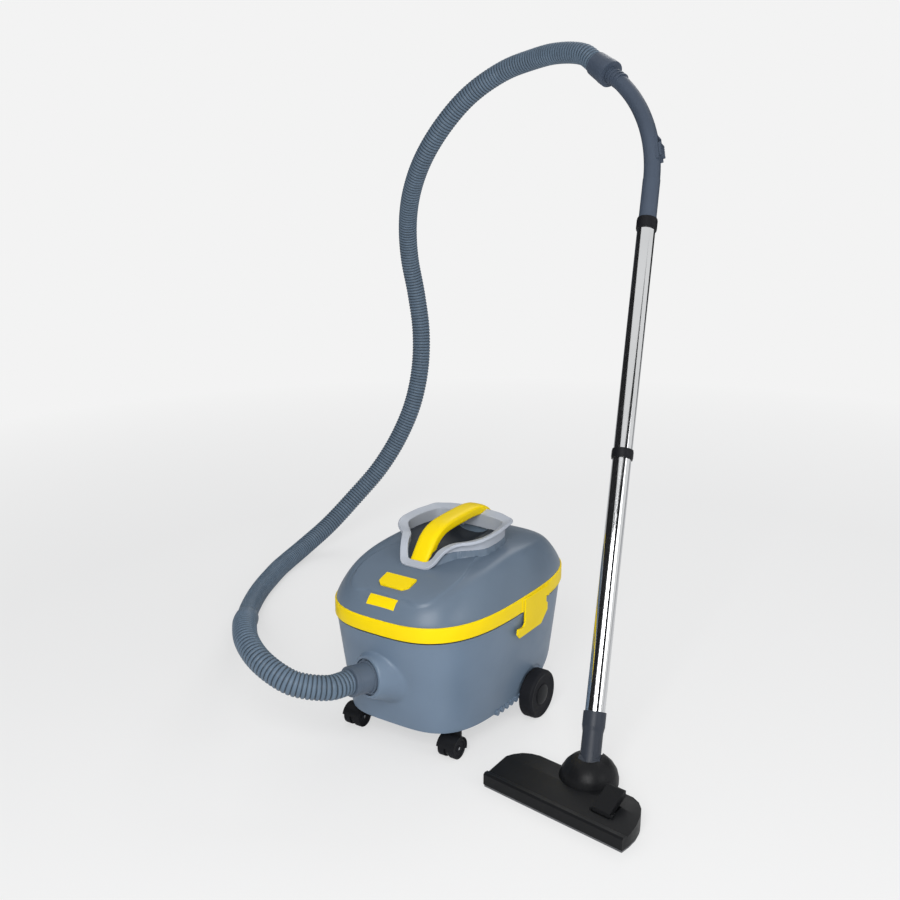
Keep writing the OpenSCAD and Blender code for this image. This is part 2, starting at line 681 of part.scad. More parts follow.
module motor() {
    color("#6f7378") stand() translate([0, motor_y, housing_z + housing_h]) difference() {
        union() {
            cylinder(r = motor_r, h = motor_h - 8);
            cylinder(r = motor_r - 8, h = motor_h);
        }
        translate([0, 0, -1]) cylinder(r = shaft_r + run_gap, h = motor_h - 8);
        for (i = [0:7]) rotate([0, 0, 45 * i]) translate([motor_r - 5, -4, 6]) cube([20, 8, motor_h - 22]);
    }
}
module fan() {
    h = housing_h - 12;
    color("#c9ccd0") stand() translate([0, motor_y, housing_z + 6]) union() {
        difference() {
            cylinder(r = fan_r, h = 1.5);
            translate([0, 0, -1]) cylinder(r = 22, h = 4);
        }
        translate([0, 0, h - 1.5]) cylinder(r = fan_r, h = 1.5);
        cylinder(r = 10, h = h);
        cylinder(r = shaft_r, h = housing_h + motor_h - 20);
        for (i = [0:8]) rotate([0, 0, 40 * i]) translate([8, -1, 0.5]) cube([fan_r - 9, 2, h - 1]);
    }
}
cage_h = 32;
module filter_cage() {
    color("#2b2d31") stand() translate([0, motor_y, plate_z - seat_gap - cage_h]) difference() {
        union() {
            cylinder(r = filter_r, h = cage_h);
            translate([0, 0, cage_h - 3]) cylinder(r = filter_r + 8, h = 3);
        }
        translate([0, 0, 3]) cylinder(r = filter_r - 3, h = cage_h);
        for (i = [0:11]) rotate([0, 0, 30 * i]) translate([filter_r - 8, -9, 6]) cube([16, 18, cage_h - 12]);
    }
}
module motor_filter() {
    color("#d9dcdf") stand() translate([0, motor_y, plate_z - cage_h + 3]) difference() {
        cylinder(r = filter_r - 3 - seat_gap, h = cage_h - 3 - 2 * seat_gap);
        translate([0, 0, 6]) cylinder(r = filter_r - 16, h = cage_h);
    }
}
module exhaust_filter() {
    floor_z = housing_z + plate_t + 2 * seat_gap;
    color("#4a4d52") stand() translate([-46, body_y + tub_l / 2 - 20, floor_z])
        cube([92, 6, band_top + 12 - floor_z]);
}
gland_r = 6.5;
gland_bore = 3.6;
gland_x = 80;
gland_z = band_z + 18;
gland_y = body_y + (tub_l / 2 + band_out) * pow(1 - pow(gland_x / (tub_w / 2 + band_out), rim_n), 1 / rim_n);
module at_gland() translate([-gland_x, gland_y, gland_z]) rotate([-90, 0, 0]) children();
module cord_gland() {
    color("#1f2124") stand() at_gland() difference() {
        union() {
            translate([0, 0, -16]) cylinder(r = gland_r, h = 20);
            translate([0, 0, 3]) cylinder(r = gland_r + 2.5, h = 3);
        }
        translate([0, 0, -17]) cylinder(r = gland_bore, h = 30);
    }
}

// ---- Cord frame: a flared ring of plate round the carry handle ----
// Right half from the front to the rear, as [inner edge, outer edge]
frame_t = 6;
frame_wall = 4;
frame_side = [
    [[0, -110, 7], [0, -124, 0]], [[18, -109, 7], [24, -123, 1]], [[27, -101, 14], [36, -113, 8]],
    [[33, -92, 26], [45, -99, 24]], [[40, -79, 32], [53, -85, 34]], [[48, -63, 34], [62, -71, 38]],
    [[62, -48, 35], [78, -58, 40]], [[76, -33, 38], [91, -43, 43]], [[83, -18, 40], [97, -24, 46]],
    [[84, 4, 41], [98, 2, 47]], [[82, 26, 42], [96, 26, 48]], [[78, 46, 42], [92, 49, 48]],
    [[72, 59, 43], [87, 71, 48]], [[60, 64, 44], [70, 79, 49]], [[44, 67, 45], [49, 86, 50]],
    [[0, 71, 46], [0, 91, 50]]
];
frame_z = lid_z(0, -118) + saddle_rise - 1;
plateau_z = band_top + dome_h + 11;     // top of the lid's plateau that carries the frame
function frame_points(k) = let (half = [for (e = frame_side) e[k] + [0, 0, frame_z]])
    concat(half, [for (i = [len(half) - 2:-1:1]) [-half[i].x, half[i].y, half[i].z]]);
module cord_frame() {
    inner = frame_points(0);
    outer = frame_points(1);
    m = len(inner);
    fine = 3;
    stations = [for (i = [0:m - 1], s = [0:fine - 1])
        let (t = s / fine, a = (i + m - 1) % m, b = (i + 1) % m, c = (i + 2) % m)
        [blend(inner[a], inner[i], inner[b], inner[c], t), blend(outer[a], outer[i], outer[b], outer[c], t)]];
    n = len(stations);
    color("#b9bec4") stand() loop_loft([for (i = [0:n - 1]) let (
        e = stations[i],
        along = unit(stations[(i + 1) % n][0] - stations[(i + n - 1) % n][0]
            + stations[(i + 1) % n][1] - stations[(i + n - 1) % n][1]),
        w = unit(e[1] - e[0]),
        up = unit(cross(w, along)) * frame_t / 2,
        foot = min(plateau_z - 1, e[0].z - 8),
        heel = e[0] + w * frame_wall - up)
        [[e[0].x, e[0].y, foot], e[0] + up, e[1] + up, e[1] - up, heel, [heel.x, heel.y, foot]]]);
}
// Point between b and c on a smooth curve through a, b, c and d
function blend(a, b, c, d, t) = hermite(b, c, (c - a) / 2, (d - b) / 2, 1, t);

// ---- Carry handle ----
grip_z = band_top + grip_rise;
handle_path = [[0, -106, frame_z - 3], [0, -92, frame_z + 14], [0, -74, grip_z - 16], [0, -54, grip_z - 4],
    [0, -30, grip_z + 1], [0, 10, grip_z + 3], [0, 50, grip_z + 4], [0, 76, grip_z + 1],
    [0, 96, grip_z - 8], [0, 109, grip_z - 22], [0, 115, frame_z + 18]];
module carry_handle() {
    first = unit([0, 0.7, 0.75]);
    last = unit([0, 0.3, -1]);
    path = smooth_path(handle_path, 2, first, last);
    t = headings(path, first, last);
    color("#f4d808") stand() difference() {
        loft([for (i = [0:len(path) - 1])
            ring_at(path[i], t[i], [1, 0, 0], rounded_box(handle_w / 2, handle_t / 2, 20, 3.6))]);
        translate([-handle_w / 2 + 4, 84, frame_z]) cube([handle_w - 8, 26, grip_z - frame_z - 14]);
    }
}

// ---- Switch ----
module switch_body() {
    color("#1f2124") stand() at_button() translate([0, 0, switch_z - seat_gap]) difference() {
        union() {
            translate([-post_x - 6, -7, -3]) cube([2 * post_x + 12, 14, 3]);
            translate([-14, -10, -18]) cube([28, 20, 18]);
        }
        translate([0, 0, -12 - button_travel]) cylinder(r = 4 + run_gap, h = 20 + button_travel);
    }
}
module switch_button() {
    color("#f4d808") stand() at_button() {
        translate([0, 0, -3]) linear_extrude(6) button_outline(0);
        translate([0, 0, switch_z - 10]) cylinder(r = 4, h = 10 - switch_z);
    }
}

// ---- Latches ----
module latch_shape() {
    up = latch_axis_z;
    polygon([[-latch_half, up], [-latch_half, latch_z + 22], [-latch_half - 6, latch_z + 17],
        [-latch_half - 25, latch_z + 19], [-latch_half - 27, latch_z + 9], [-latch_half - 19, latch_z],
        [latch_half - 24, latch_z], [latch_half, latch_z + 20], [latch_half, latch_z + 34],
        [latch_half - 5, latch_z + 37], [latch_half - 5, latch_z + 48], [latch_half, latch_z + 51],
        [latch_half, up]]);
}
module latch(side) {
    color("#f4d808") stand() on_side(side) at_latch() difference() {
        union() {
            translate([latch_x, 0, 0]) rotate([90, 0, 90]) linear_extrude(barrel_r) latch_shape();
            translate([latch_x, latch_half, latch_axis_z]) rotate([90, 0, 0])
                cylinder(r = barrel_r, h = 2 * latch_half);
            translate([-hook_in, -latch_half + 15, hook_z])
                cube([hook_in + latch_x + 1, 2 * latch_half - 30, hook_h]);
        }
        translate([latch_x, latch_half + 1, latch_axis_z]) rotate([90, 0, 0])
            cylinder(r = pin_r + run_gap, h = 2 * latch_half + 2, $fn = 32);
    }
}
module latch_left() latch(-1);
module latch_right() latch(1);
module latch_pins() {
    color("#b8bcc0") stand() both_sides() at_latch() translate([latch_x, 0, latch_axis_z]) rotate([90, 0, 0])
        cylinder(r = pin_r, h = 2 * latch_half + 10, center = true, $fn = 32);
}

// ---- Hose with its connector and cuff ----
module hose_connector() {
    color("#5d6e80") stand() at_inlet() difference() {
        union() {
            translate([0, 0, -socket_in + 4]) cylinder(r = spigot_r, h = socket_in + boss_out);
            translate([0, 0, boss_out - 3.6]) cylinder(r = 30, h = 5);
            translate([0, 0, boss_out]) cylinder(r1 = 27.5, r2 = 26, h = connector_out - boss_out - 9);
            translate([0, 0, connector_out - 10]) cylinder(r = 27, h = 10);
        }
        translate([0, 0, -socket_in]) cylinder(r = hose_bore / 2, h = socket_in + connector_out + 1);
    }
}
function turn_z(v, a) = [v.x * cos(a) - v.y * sin(a), v.x * sin(a) + v.y * cos(a), v.z];
function turn_x(v, a) = [v.x, v.y * cos(a) - v.z * sin(a), v.y * sin(a) + v.z * cos(a)];
inlet_way = turn_z(turn_x([0, 0, 1], 90 - inlet_tilt), -inlet_turn);
hose_start = [inlet_x, inlet_y, inlet_z] + connector_out * inlet_way;
function wand_way(v) = turn_z(turn_x(v, -wand_lean), wand_turn);
function bend_way(v) = wand_way(turn_z(v, grip_turn));
cuff_way = bend_way([sin(bend_angle), 0, cos(bend_angle)]);
hose_end = pivot + wand_way([0, 0, handle_s + grip_straight])
    + bend_way(bend_r * [1 - cos(bend_angle), 0, sin(bend_angle)]) + cuff_len * cuff_way;
// Lay of the hose between its two straight ends: out, down to the floor behind, up to the handle
hose_lay = [
    [-80, -352, 168], [-115, -363, 182], [-160, -359, 198], [-206, -336, 210], [-248, -296, 213],
    [-283, -255, 201], [-349, -184, 162], [-412, -119, 122], [-474, -55, 82], [-537, 11, 47],
    [-597, 84, 28], [-648, 165, 22], [-689, 253, 22], [-723, 343, 22], [-740, 438, 33],
    [-732, 527, 67], [-706, 600, 125], [-668, 656, 194], [-631, 692, 275], [-602, 715, 363],
    [-588, 729, 456], [-587, 733, 550], [-595, 725, 644], [-598, 702, 736], [-580, 671, 823],
    [-542, 636, 903], [-492, 612, 980], [-434, 607, 1054], [-368, 615, 1121], [-286, 622, 1171],
    [-200, 611, 1196], [-130, 588, 1206]
];
hose_route = concat([hose_start, hose_start + hose_d * inlet_way], hose_lay,
    [hose_end + hose_d * cuff_way, hose_end]);
module hose() {
    path = spaced(smooth_path(hose_route, 12, inlet_way, -cuff_way), 2 * rib_count - 1);
    t = headings(path, inlet_way, -cuff_way);
    a = carried(t, [0, 0, 1]);
    deep = hose_d / 2 - rib_depth;
    bore_at = concat([for (i = [0:6:2 * rib_count - 6]) i], [2 * rib_count - 1]);
    color("#596877") stand() tube_loft(
        [for (i = [0:2 * rib_count - 1]) ring_at(path[i], t[i], a[i],
            circle_points(i % 2 == 0 || i == 2 * rib_count - 1 ? deep : hose_d / 2, 8))],
        [for (i = bore_at) ring_at(path[i], t[i], a[i], circle_points(hose_bore / 2, 8))]
    );
}
module hose_cuff() {
    color("#555f6b") stand() at_cuff() difference() {
        union() {
            cylinder(r = 27.5, h = 14);
            translate([0, 0, 14]) cylinder(r1 = 27, r2 = 25, h = cuff_len - 14);
        }
        translate([0, 0, -1]) cylinder(r = grip_tip_r + seat_gap / 2, h = grip_in + 1 + seat_gap);
        cylinder(r = hose_bore / 2 - 3, h = cuff_len + 1);
        translate([0, 0, grip_in + 8]) cylinder(r = hose_bore / 2, h = cuff_len);
    }
}

// ---- Wand ----
grip_r = grip_d / 2;
grip_wall = 3;
grip_tip_r = grip_r - 0.6;
grip_in = 14;           // how far the handle's end enters the cuff
slide_way = atan((slide_s - handle_s - grip_straight + 60) / bend_r);
module in_arc(shape_r) translate([bend_r, 0, 0]) rotate([90, 0, 0]) rotate([0, 0, 180 - bend_angle])
    rotate_extrude(angle = bend_angle, $fn = 120) translate([bend_r, 0]) circle(r = shape_r, $fn = 32);
module at_slide() at_bend() translate([bend_r * (1 - cos(slide_way)), 0, bend_r * sin(slide_way)])
    rotate([0, slide_way, 0]) children();
pad_out = grip_r + 1.5;
module bent_handle() {
    color("#525a68") stand() difference() {
        union() {
            at_wand(handle_s - 8) cylinder(r = tube_d / 2, h = 20);
            at_wand(handle_s) cylinder(r = grip_r + 0.6, h = grip_straight + 4);
            at_bend() in_arc(grip_r);
            at_cuff() translate([0, 0, -4]) cylinder(r = grip_tip_r, h = grip_in + 4);
            at_cuff() for (z = [-34:9:-7]) translate([0, 0, z]) cylinder(r = grip_r + 1.5, h = 4);
            at_slide() translate([-pad_out, -11, -26]) cube([pad_out - 4, 22, 52]);
        }
        at_wand(handle_s - 10) cylinder(r = grip_r - grip_wall + 0.5, h = grip_straight + 14);
        at_bend() in_arc(grip_r - grip_wall);
        at_cuff() translate([0, 0, -4]) cylinder(r = grip_r - grip_wall + 0.5, h = grip_in + 5);
        at_slide() {
            translate([-pad_out - 1, -6 - move_gap, -20]) cube([5, 12 + 2 * move_gap, 40]);
            translate([-pad_out - 5, 0, 8]) rotate([0, 90, 0]) cylinder(r = 4, h = 22);
        }
    }
}
module air_slide() {
    color("#464e5b") stand() at_slide() translate([-pad_out - seat_gap, 0, -20 + move_gap]) {
        translate([0.4, -6, 0]) cube([3.2, 12, 40 - 2 * move_gap - slide_travel]);
        difference() {
            translate([-5, -10, 0]) cube([5.2 + seat_gap, 20, 40 - 2 * move_gap - slide_travel]);
            translate([0, -11, -1]) cube([5, 22, 50]);
            for (z = [6:5:22]) translate([-6, -11, z]) cube([2.5, 22, 1.5]);
        }
        translate([-0.5, -6, 0]) cube([1.5, 12, 40 - 2 * move_gap - slide_travel]);
    }
}
module coupling_ring(from, length) {
    color("#17181a") stand() at_wand(from) difference() {
        union() {
            cylinder(r = tube_d / 2 + 2, h = length);
            translate([0, 0, 3]) cylinder(r = tube_d / 2 + 2.6, h = length - 6);
        }
        translate([0, 0, -1]) cylinder(r = tube_d / 2 + seat_gap / 2, h = length + 2);
    }
}
module ring_top() coupling_ring(handle_s - 16, 23);
module ring_mid() coupling_ring(joint_s - 9, 18);
module wand_tube(from, to) {
    color("#c8ccd1") stand() at_wand(from) difference() {
        cylinder(r = tube_d / 2, h = to - from);
        translate([0, 0, -1]) cylinder(r = tube_d / 2 - tube_wall, h = to - from + 2);
    }
}
module tube_upper() wand_tube(joint_s + seat_gap, handle_s - 8 - seat_gap);
module tube_lower() wand_tube(neck_s - socket_depth + seat_gap, joint_s);
module neck() {
    neck_r = tube_d / 2 + 2.5;
    color("#454c58") stand() at_wand(0) difference() {
        union() {
            rotate([0, 90, 0]) cylinder(r = knuckle_r, h = knuckle_w, center = true);
            rotate([0, 90, 0]) cylinder(r = cheek_pin_r, h = knuckle_w + 16, center = true);
            cylinder(r = knuckle_r, h = 54);
            translate([0, 0, 54]) cylinder(r1 = knuckle_r, r2 = neck_r, h = 10);
            translate([0, 0, 64]) cylinder(r = neck_r, h = neck_s - 64);
        }
        translate([0, 0, -30]) cylinder(r = 13, h = 100);
        translate([0, 0, neck_s - socket_depth]) cylinder(r = tube_d / 2 + seat_gap / 2, h = 50);
    }
}

// ---- Floor head ----
module turret() {
    slot = knuckle_w / 2 + move_gap;
    color("#1e1f21") stand() at_turret() difference() {
        union() {
            rotate_extrude($fn = 72) polygon(turret_side(0));
            translate([0, 0, 12]) cylinder(r = swivel_r, h = turret_z - 12 + 1);
        }
        difference() {
            translate([0, 0, -eps]) rotate_extrude($fn = 72) polygon(turret_side(wall));
            translate([-slot - 9, -turret_r, 0]) cube([2 * slot + 18, 2 * turret_r, 100]);
        }
        translate([0, 0, pivot.z]) rotate([0, 90, 0])
            cylinder(r = knuckle_r + move_gap, h = 2 * slot, center = true);
        translate([-slot, 0, pivot.z]) cube([2 * slot, 100, 60]);
        for (lean = [0, lean_max]) translate([0, 0, pivot.z]) rotate([-lean, 0, 0])
            cylinder(r = knuckle_r + move_gap, h = 100);
        translate([0, 0, pivot.z]) rotate([0, 90, 0])
            cylinder(r = cheek_pin_r + run_gap, h = knuckle_w + 17, center = true);
        cylinder(r = 14, h = pivot.z);
    }
}
function turret_side(t) = [
    [0, turret_z + t], [turret_r - t, turret_z + (t > 0 ? -1 : 0)], [turret_r - t, turret_z + 9],
    [turret_r - 3 - t, turret_z + 21 - t / 2], [turret_r - 9 - t, turret_z + 31 - t],
    [turret_r - 18 - t, turret_top - 5 - t], [turret_r - 30 - t, turret_top - 1 - t], [0, turret_top - t]
];
module head_outline(grow) {
    hw = head_w / 2 + grow;
    rear = head_d + grow;
    polygon([[-hw, -grow], [hw, -grow], [hw, 20], [hw - 3, 42], [hw - 10, 63], [hw - 21, 81], [hw - 34, 93],
        [hw - 50, rear], [-hw + 42, rear], [-hw + 27, 95], [-hw + 14, 86], [-hw + 5, 73], [-hw, 58]]);
    translate([0, head_back]) circle(r = turret_r - 1 + grow, $fn = 72);
}
module head_deck() intersection() {
    linear_extrude(80) head_outline(0);
    rotate([90, 0, 90]) translate([0, 0, -200]) linear_extrude(400) polygon([[-5, sole_t + seat_gap],
        [200, sole_t + seat_gap], [200, deck_h - 5], [92, deck_h], [60, deck_h], [14, lip_h - 3],
        [10, lip_h], [3, lip_h], [-1, lip_h - 4]]);
}
roller_well = 10;
module head_shell() {
    color("#1e1f21") stand() at_head() difference() {
        union() {
            head_deck();
            for (u = [pedal_u - pedal_w / 2 - 5, pedal_u + pedal_w / 2 + 1]) translate([u, pedal_v, pedal_z])
                rotate([0, 90, 0]) cylinder(r = 5, h = 4);
        }
        translate([-cavity[0], cavity[1], 0]) cube([2 * cavity[0], cavity[2] - cavity[1], cavity[3]]);
        translate([-22, cavity[2] - 1, 0]) cube([44, head_back - cavity[2] + 1, cavity[3] - 2]);
        translate([0, head_back, 0]) cylinder(r = swivel_r + 2, h = 10);
        translate([0, head_back, 0]) cylinder(r = swivel_r + run_gap, h = 60);
        translate([0, head_back, turret_z - move_gap]) cylinder(r = turret_r + move_gap, h = 60, $fn = 72);
        translate([pedal_u - pedal_w / 2 - 1, pedal_v - 7, cavity[3] + 3]) cube([pedal_w + 2, 34, 40]);
        translate([pedal_u - pedal_w / 2 - 4.5, pedal_v, pedal_z]) rotate([0, 90, 0])
            cylinder(r = 2 + seat_gap / 2, h = pedal_w + 9, $fn = 32);
        for (s = [-1, 1]) translate([s * roller_u, roller_v, roller_r]) {
            translate([-roller_well, -roller_well, -10]) cube([2 * roller_well, 2 * roller_well, 20]);
            rotate([0, 90, 0]) cylinder(r = 2 + seat_gap / 2, h = 2 * roller_well + 8, center = true, $fn = 32);
        }
    }
}
module sole_plate() {
    color("#8d9297") stand() at_head() difference() {
        linear_extrude(sole_t) head_outline(-1);
        translate([2 - brush_half, 32, -1]) cube([2 * brush_half - 4, 18, sole_t + 2]);
        for (v = brush_v) translate([-brush_half - 2, v - 2.5, -1]) cube([2 * brush_half + 4, 5, sole_t + 2]);
        for (s = [-1, 1]) translate([s * roller_u - roller_well, roller_v - roller_well, -1])
            cube([2 * roller_well, 2 * roller_well, sole_t + 2]);
    }
}
carrier_z = sole_t + brush_drop + 1;
module brush_carrier() {
    color("#3a3d42") stand() at_head() difference() {
        union() {
            for (v = brush_v) translate([-brush_half - 1, v - 4, carrier_z]) cube([2 * brush_half + 2, 8, 6]);
            for (u = [-60, 56]) translate([u, brush_v[0], carrier_z + 2]) cube([4, brush_v[1] - brush_v[0], 4]);
        }
        for (v = brush_v) translate([-brush_half, v - 1.5 - seat_gap / 2, carrier_z - 1])
            cube([2 * brush_half, 3 + seat_gap, 5]);
    }
}
module bristles() {
    color("#26282b") stand() at_head() for (v = brush_v)
        translate([1 - brush_half, v - 1.5, 1.5]) cube([2 * brush_half - 2, 3, carrier_z + 2.3]);
}
module pedal() {
    color("#1a1b1d") stand() at_head() difference() {
        translate([pedal_u - pedal_w / 2, 0, 0]) rotate([90, 0, 90]) linear_extrude(pedal_w)
            polygon([[pedal_v - 5, pedal_z], [pedal_v - 3, pedal_z + 6], [pedal_v + 34, pedal_z + 31],
                [pedal_v + 39, pedal_z + 30], [pedal_v + 39, pedal_z + 19], [pedal_v + 9, pedal_z + 3],
                [pedal_v + 2, pedal_z - 2.5]]);
        translate([0, pedal_v, pedal_z]) rotate([0, 90, 0]) cylinder(r = 2 + run_gap, h = 200, $fn = 32);
    }
}
module pedal_pin() {
    color("#b8bcc0") stand() at_head() translate([pedal_u - pedal_w / 2 - 4, pedal_v, pedal_z])
        rotate([0, 90, 0]) cylinder(r = 2, h = pedal_w + 8, $fn = 32);
}
module head_roller(side) {
    color("#55585d") stand() at_head() translate([side * roller_u, roller_v, roller_r]) rotate([0, 90, 0])
        difference() {
            cylinder(r = roller_r, h = 2 * roller_well - 2, center = true, $fn = 48);
            cylinder(r = 2 + run_gap, h = 40, center = true, $fn = 32);
        }
}
module head_roller_left() head_roller(-1);
module head_roller_right() head_roller(1);
module roller_pins() {
    color("#b8bcc0") stand() at_head() for (s = [-1, 1]) translate([s * roller_u, roller_v, roller_r])
        rotate([0, 90, 0]) cylinder(r = 2, h = 2 * roller_well + 7, center = true, $fn = 32);
}

tub();
rim_seal();
inlet_socket();
bag_collar();
dust_bag();
rear_axle();
wheel_left();
wheel_right();
hubcap_left();
hubcap_right();
caster_sockets();
caster_fork_left();
caster_fork_right();
caster_axle_left();
caster_axle_right();
caster_wheels_left();
caster_wheels_right();
lid_shell();
rim_band();
motor_plate();
fan_housing();
motor();
fan();
filter_cage();
motor_filter();
plate_screws();
exhaust_filter();
cord_gland();
cord_frame();
carry_handle();
switch_body();
switch_button();
latch_left();
latch_right();
latch_pins();
hose_connector();
hose();
hose_cuff();
bent_handle();
air_slide();
ring_top();
tube_upper();
ring_mid();
tube_lower();
neck();
turret();
head_shell();
sole_plate();
brush_carrier();
bristles();
pedal();
pedal_pin();
head_roller_left();
head_roller_right();
roller_pins();
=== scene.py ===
"""Looks of the canister vacuum cleaner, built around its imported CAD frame. Metres, +Z up.

Places are written from the canister's middle line (x = 0, its inlet facing -Y),
and at() moves them into the frame.
"""

import json
import math

import bmesh
import bpy
import numpy as np
from mathutils import Matrix, Vector


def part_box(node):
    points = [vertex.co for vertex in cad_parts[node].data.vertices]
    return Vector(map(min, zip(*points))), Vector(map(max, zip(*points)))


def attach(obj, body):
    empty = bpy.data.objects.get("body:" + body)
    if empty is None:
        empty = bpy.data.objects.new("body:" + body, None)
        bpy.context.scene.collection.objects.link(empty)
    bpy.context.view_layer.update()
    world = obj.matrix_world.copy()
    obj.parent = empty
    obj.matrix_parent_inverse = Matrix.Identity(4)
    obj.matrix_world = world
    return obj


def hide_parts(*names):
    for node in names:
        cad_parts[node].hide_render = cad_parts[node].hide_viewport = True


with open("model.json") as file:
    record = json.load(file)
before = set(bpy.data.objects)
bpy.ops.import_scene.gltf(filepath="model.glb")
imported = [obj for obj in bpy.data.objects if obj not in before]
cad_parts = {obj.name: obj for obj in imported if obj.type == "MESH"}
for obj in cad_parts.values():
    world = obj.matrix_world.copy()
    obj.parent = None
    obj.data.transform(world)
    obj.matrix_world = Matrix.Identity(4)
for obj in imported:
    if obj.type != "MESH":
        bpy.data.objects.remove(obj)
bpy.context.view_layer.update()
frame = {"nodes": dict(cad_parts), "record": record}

# ---- places, from the frame
SEAL_LOW, SEAL_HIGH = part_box("rim_seal")
SEAL_IN = 0.001  # the seal lies this far inside the tub's rim
MIDDLE = Vector(((SEAL_LOW.x + SEAL_HIGH.x) / 2, (SEAL_LOW.y + SEAL_HIGH.y) / 2, 0))
TUB_HW = (SEAL_HIGH.x - SEAL_LOW.x) / 2 + SEAL_IN
TUB_HL = (SEAL_HIGH.y - SEAL_LOW.y) / 2 + SEAL_IN
RIM_Z = SEAL_LOW.z
BAND_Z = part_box("rim_band")[0].z
BAND_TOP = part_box("rim_band")[1].z


def at(x, y, z=0.0):
    """A point of the canister in the frame."""
    return Vector((x, y, z)) + MIDDLE


# ---- camera
CAMERA_PLACE = (1.2079, -1.7979, 1.134)
CAMERA_PITCH = 16.1
CAMERA_TURN = 34.0
LENS_MM = 50
SENSOR_MM = 36


def make_camera():
    data = bpy.data.cameras.new("camera")
    data.lens = LENS_MM
    data.sensor_width = SENSOR_MM
    camera = bpy.data.objects.new("camera", data)
    camera.location = at(*CAMERA_PLACE)
    camera.rotation_euler = (math.radians(90 - CAMERA_PITCH), 0, math.radians(CAMERA_TURN))
    bpy.context.scene.collection.objects.link(camera)
    bpy.context.scene.camera = camera


make_camera()


# ---- mesh helpers
def new_object(name, points, faces, smooth=True):
    mesh = bpy.data.meshes.new(name)
    mesh.from_pydata([tuple(p) for p in points], [], faces)
    mesh.validate()
    mesh.update()
    mesh.polygons.foreach_set("use_smooth", [smooth] * len(mesh.polygons))
    obj = bpy.data.objects.new(name, mesh)
    bpy.context.scene.collection.objects.link(obj)
    return obj


def loft_faces(rings, count, closed=False):
    """Quads between rings of equal count, each going the same way round."""
    last = rings if closed else rings - 1
    return [
        (a + i, a + (i + 1) % count, b + (i + 1) % count, b + i)
        for a, b in ((j * count, (j + 1) % rings * count) for j in range(last))
        for i in range(count)
    ]


def apply_modifiers(obj):
    """Gives the object the mesh that its modifiers make."""
    graph = bpy.context.evaluated_depsgraph_get()
    mesh = bpy.data.meshes.new_from_object(obj.evaluated_get(graph))
    obj.modifiers.clear()
    obj.data = mesh
    return obj


def outward(obj):
    """Turns the faces of a closed mesh so that they all look outwards."""
    bm = bmesh.new()
    bm.from_mesh(obj.data)
    bmesh.ops.recalc_face_normals(bm, faces=bm.faces)
    bm.to_mesh(obj.data)
    bm.free()
    return obj


def closed_loft(name, rings):
    """A closed solid through rings of points in the frame, capped at both ends."""
    count = len(rings[0])
    last = (len(rings) - 1) * count
    caps = [tuple(reversed(range(count))), tuple(last + i for i in range(count))]
    return outward(new_object(name, np.concatenate(rings), loft_faces(len(rings), count) + caps))


def boolean(obj, others, operation):
    """Joins the other solids to the object or cuts it by them, one by one, and removes them."""
    for other in others:
        cut = obj.modifiers.new("cut", "BOOLEAN")
        cut.operation = operation
        cut.solver = "MANIFOLD"
        cut.object = other
        apply_modifiers(obj)
        bpy.data.objects.remove(other)
    return obj


EDGE_DEGREES = 35  # edges sharper than this are rounded


def smooth_by_angle(obj, degrees=EDGE_DEGREES):
    mesh = obj.data
    mesh.polygons.foreach_set("use_smooth", [True] * len(mesh.polygons))
    mesh.set_sharp_from_angle(angle=math.radians(degrees))


def soften(obj, width, clamp=False):
    """Rounds the sharp edges, as moulded plastic has them."""
    bevel = obj.modifiers.new("edge", "BEVEL")
    bevel.width = width
    bevel.segments = 2
    bevel.limit_method = "ANGLE"
    bevel.angle_limit = math.radians(EDGE_DEGREES)
    bevel.use_clamp_overlap = clamp
    bevel.miter_outer = "MITER_ARC"
    normals = obj.modifiers.new("normals", "WEIGHTED_NORMAL")
    normals.keep_sharp = True
    return apply_modifiers(obj)


def piece(obj, body, material, nodes=()):
    """A finished piece: its material, the body it rides on and the CAD nodes it stands for."""
    obj.data.materials.clear()
    obj.data.materials.append(material)
    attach(obj, body)
    if nodes:
        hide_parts(*nodes)
    return obj


def signed_pow(v, p):
    return np.sign(v) * np.abs(v) ** p


def ease(t):
    """A smooth step from 0 to 1."""
    u = np.clip(t, 0, 1)
    return u * u * (3 - 2 * u)


def inside_distance(points, polygon):
    """Distance from the polygon's edge, positive inside it."""
    polygon = np.asarray(polygon, float)
    nearest = np.full(len(points), 1e9)
    inside = np.zeros(len(points), bool)
    for a, b in zip(polygon, np.roll(polygon, -1, axis=0)):
        edge = b - a
        t = np.clip(((points - a) @ edge) / (edge @ edge), 0, 1)
        nearest = np.minimum(nearest, np.linalg.norm(points - a - t[:, None] * edge, axis=1))
        crosses = (a[1] > points[:, 1]) != (b[1] > points[:, 1])
        reach = a[0] + (points[:, 1] - a[1]) / (b[1] - a[1] + 1e-12) * (b[0] - a[0])
        inside ^= crosses & (points[:, 0] < reach)
    return np.where(inside, nearest, -nearest)


# ---- smooth curves, as the CAD source draws them
def smooth_path(points, steps, first, last):
    """A curve through the points, passed at the pace of their distances."""
    p = np.asarray(points, float)
    k = np.concatenate([[0], np.cumsum(np.linalg.norm(np.diff(p, axis=0), axis=1))])
    m = np.empty_like(p)
    m[0], m[-1] = first, last
    m[1:-1] = (p[2:] - p[:-2]) / (k[2:] - k[:-2])[:, None]
    t = np.arange(steps)[:, None] / steps
    legs = [
        (2 * t**3 - 3 * t**2 + 1) * p[i] + (t**3 - 2 * t**2 + t) * (k[i + 1] - k[i]) * m[i]
        + (3 * t**2 - 2 * t**3) * p[i + 1] + (t**3 - t**2) * (k[i + 1] - k[i]) * m[i + 1]
        for i in range(len(p) - 1)
    ]
    return np.concatenate([*legs, p[-1:]])


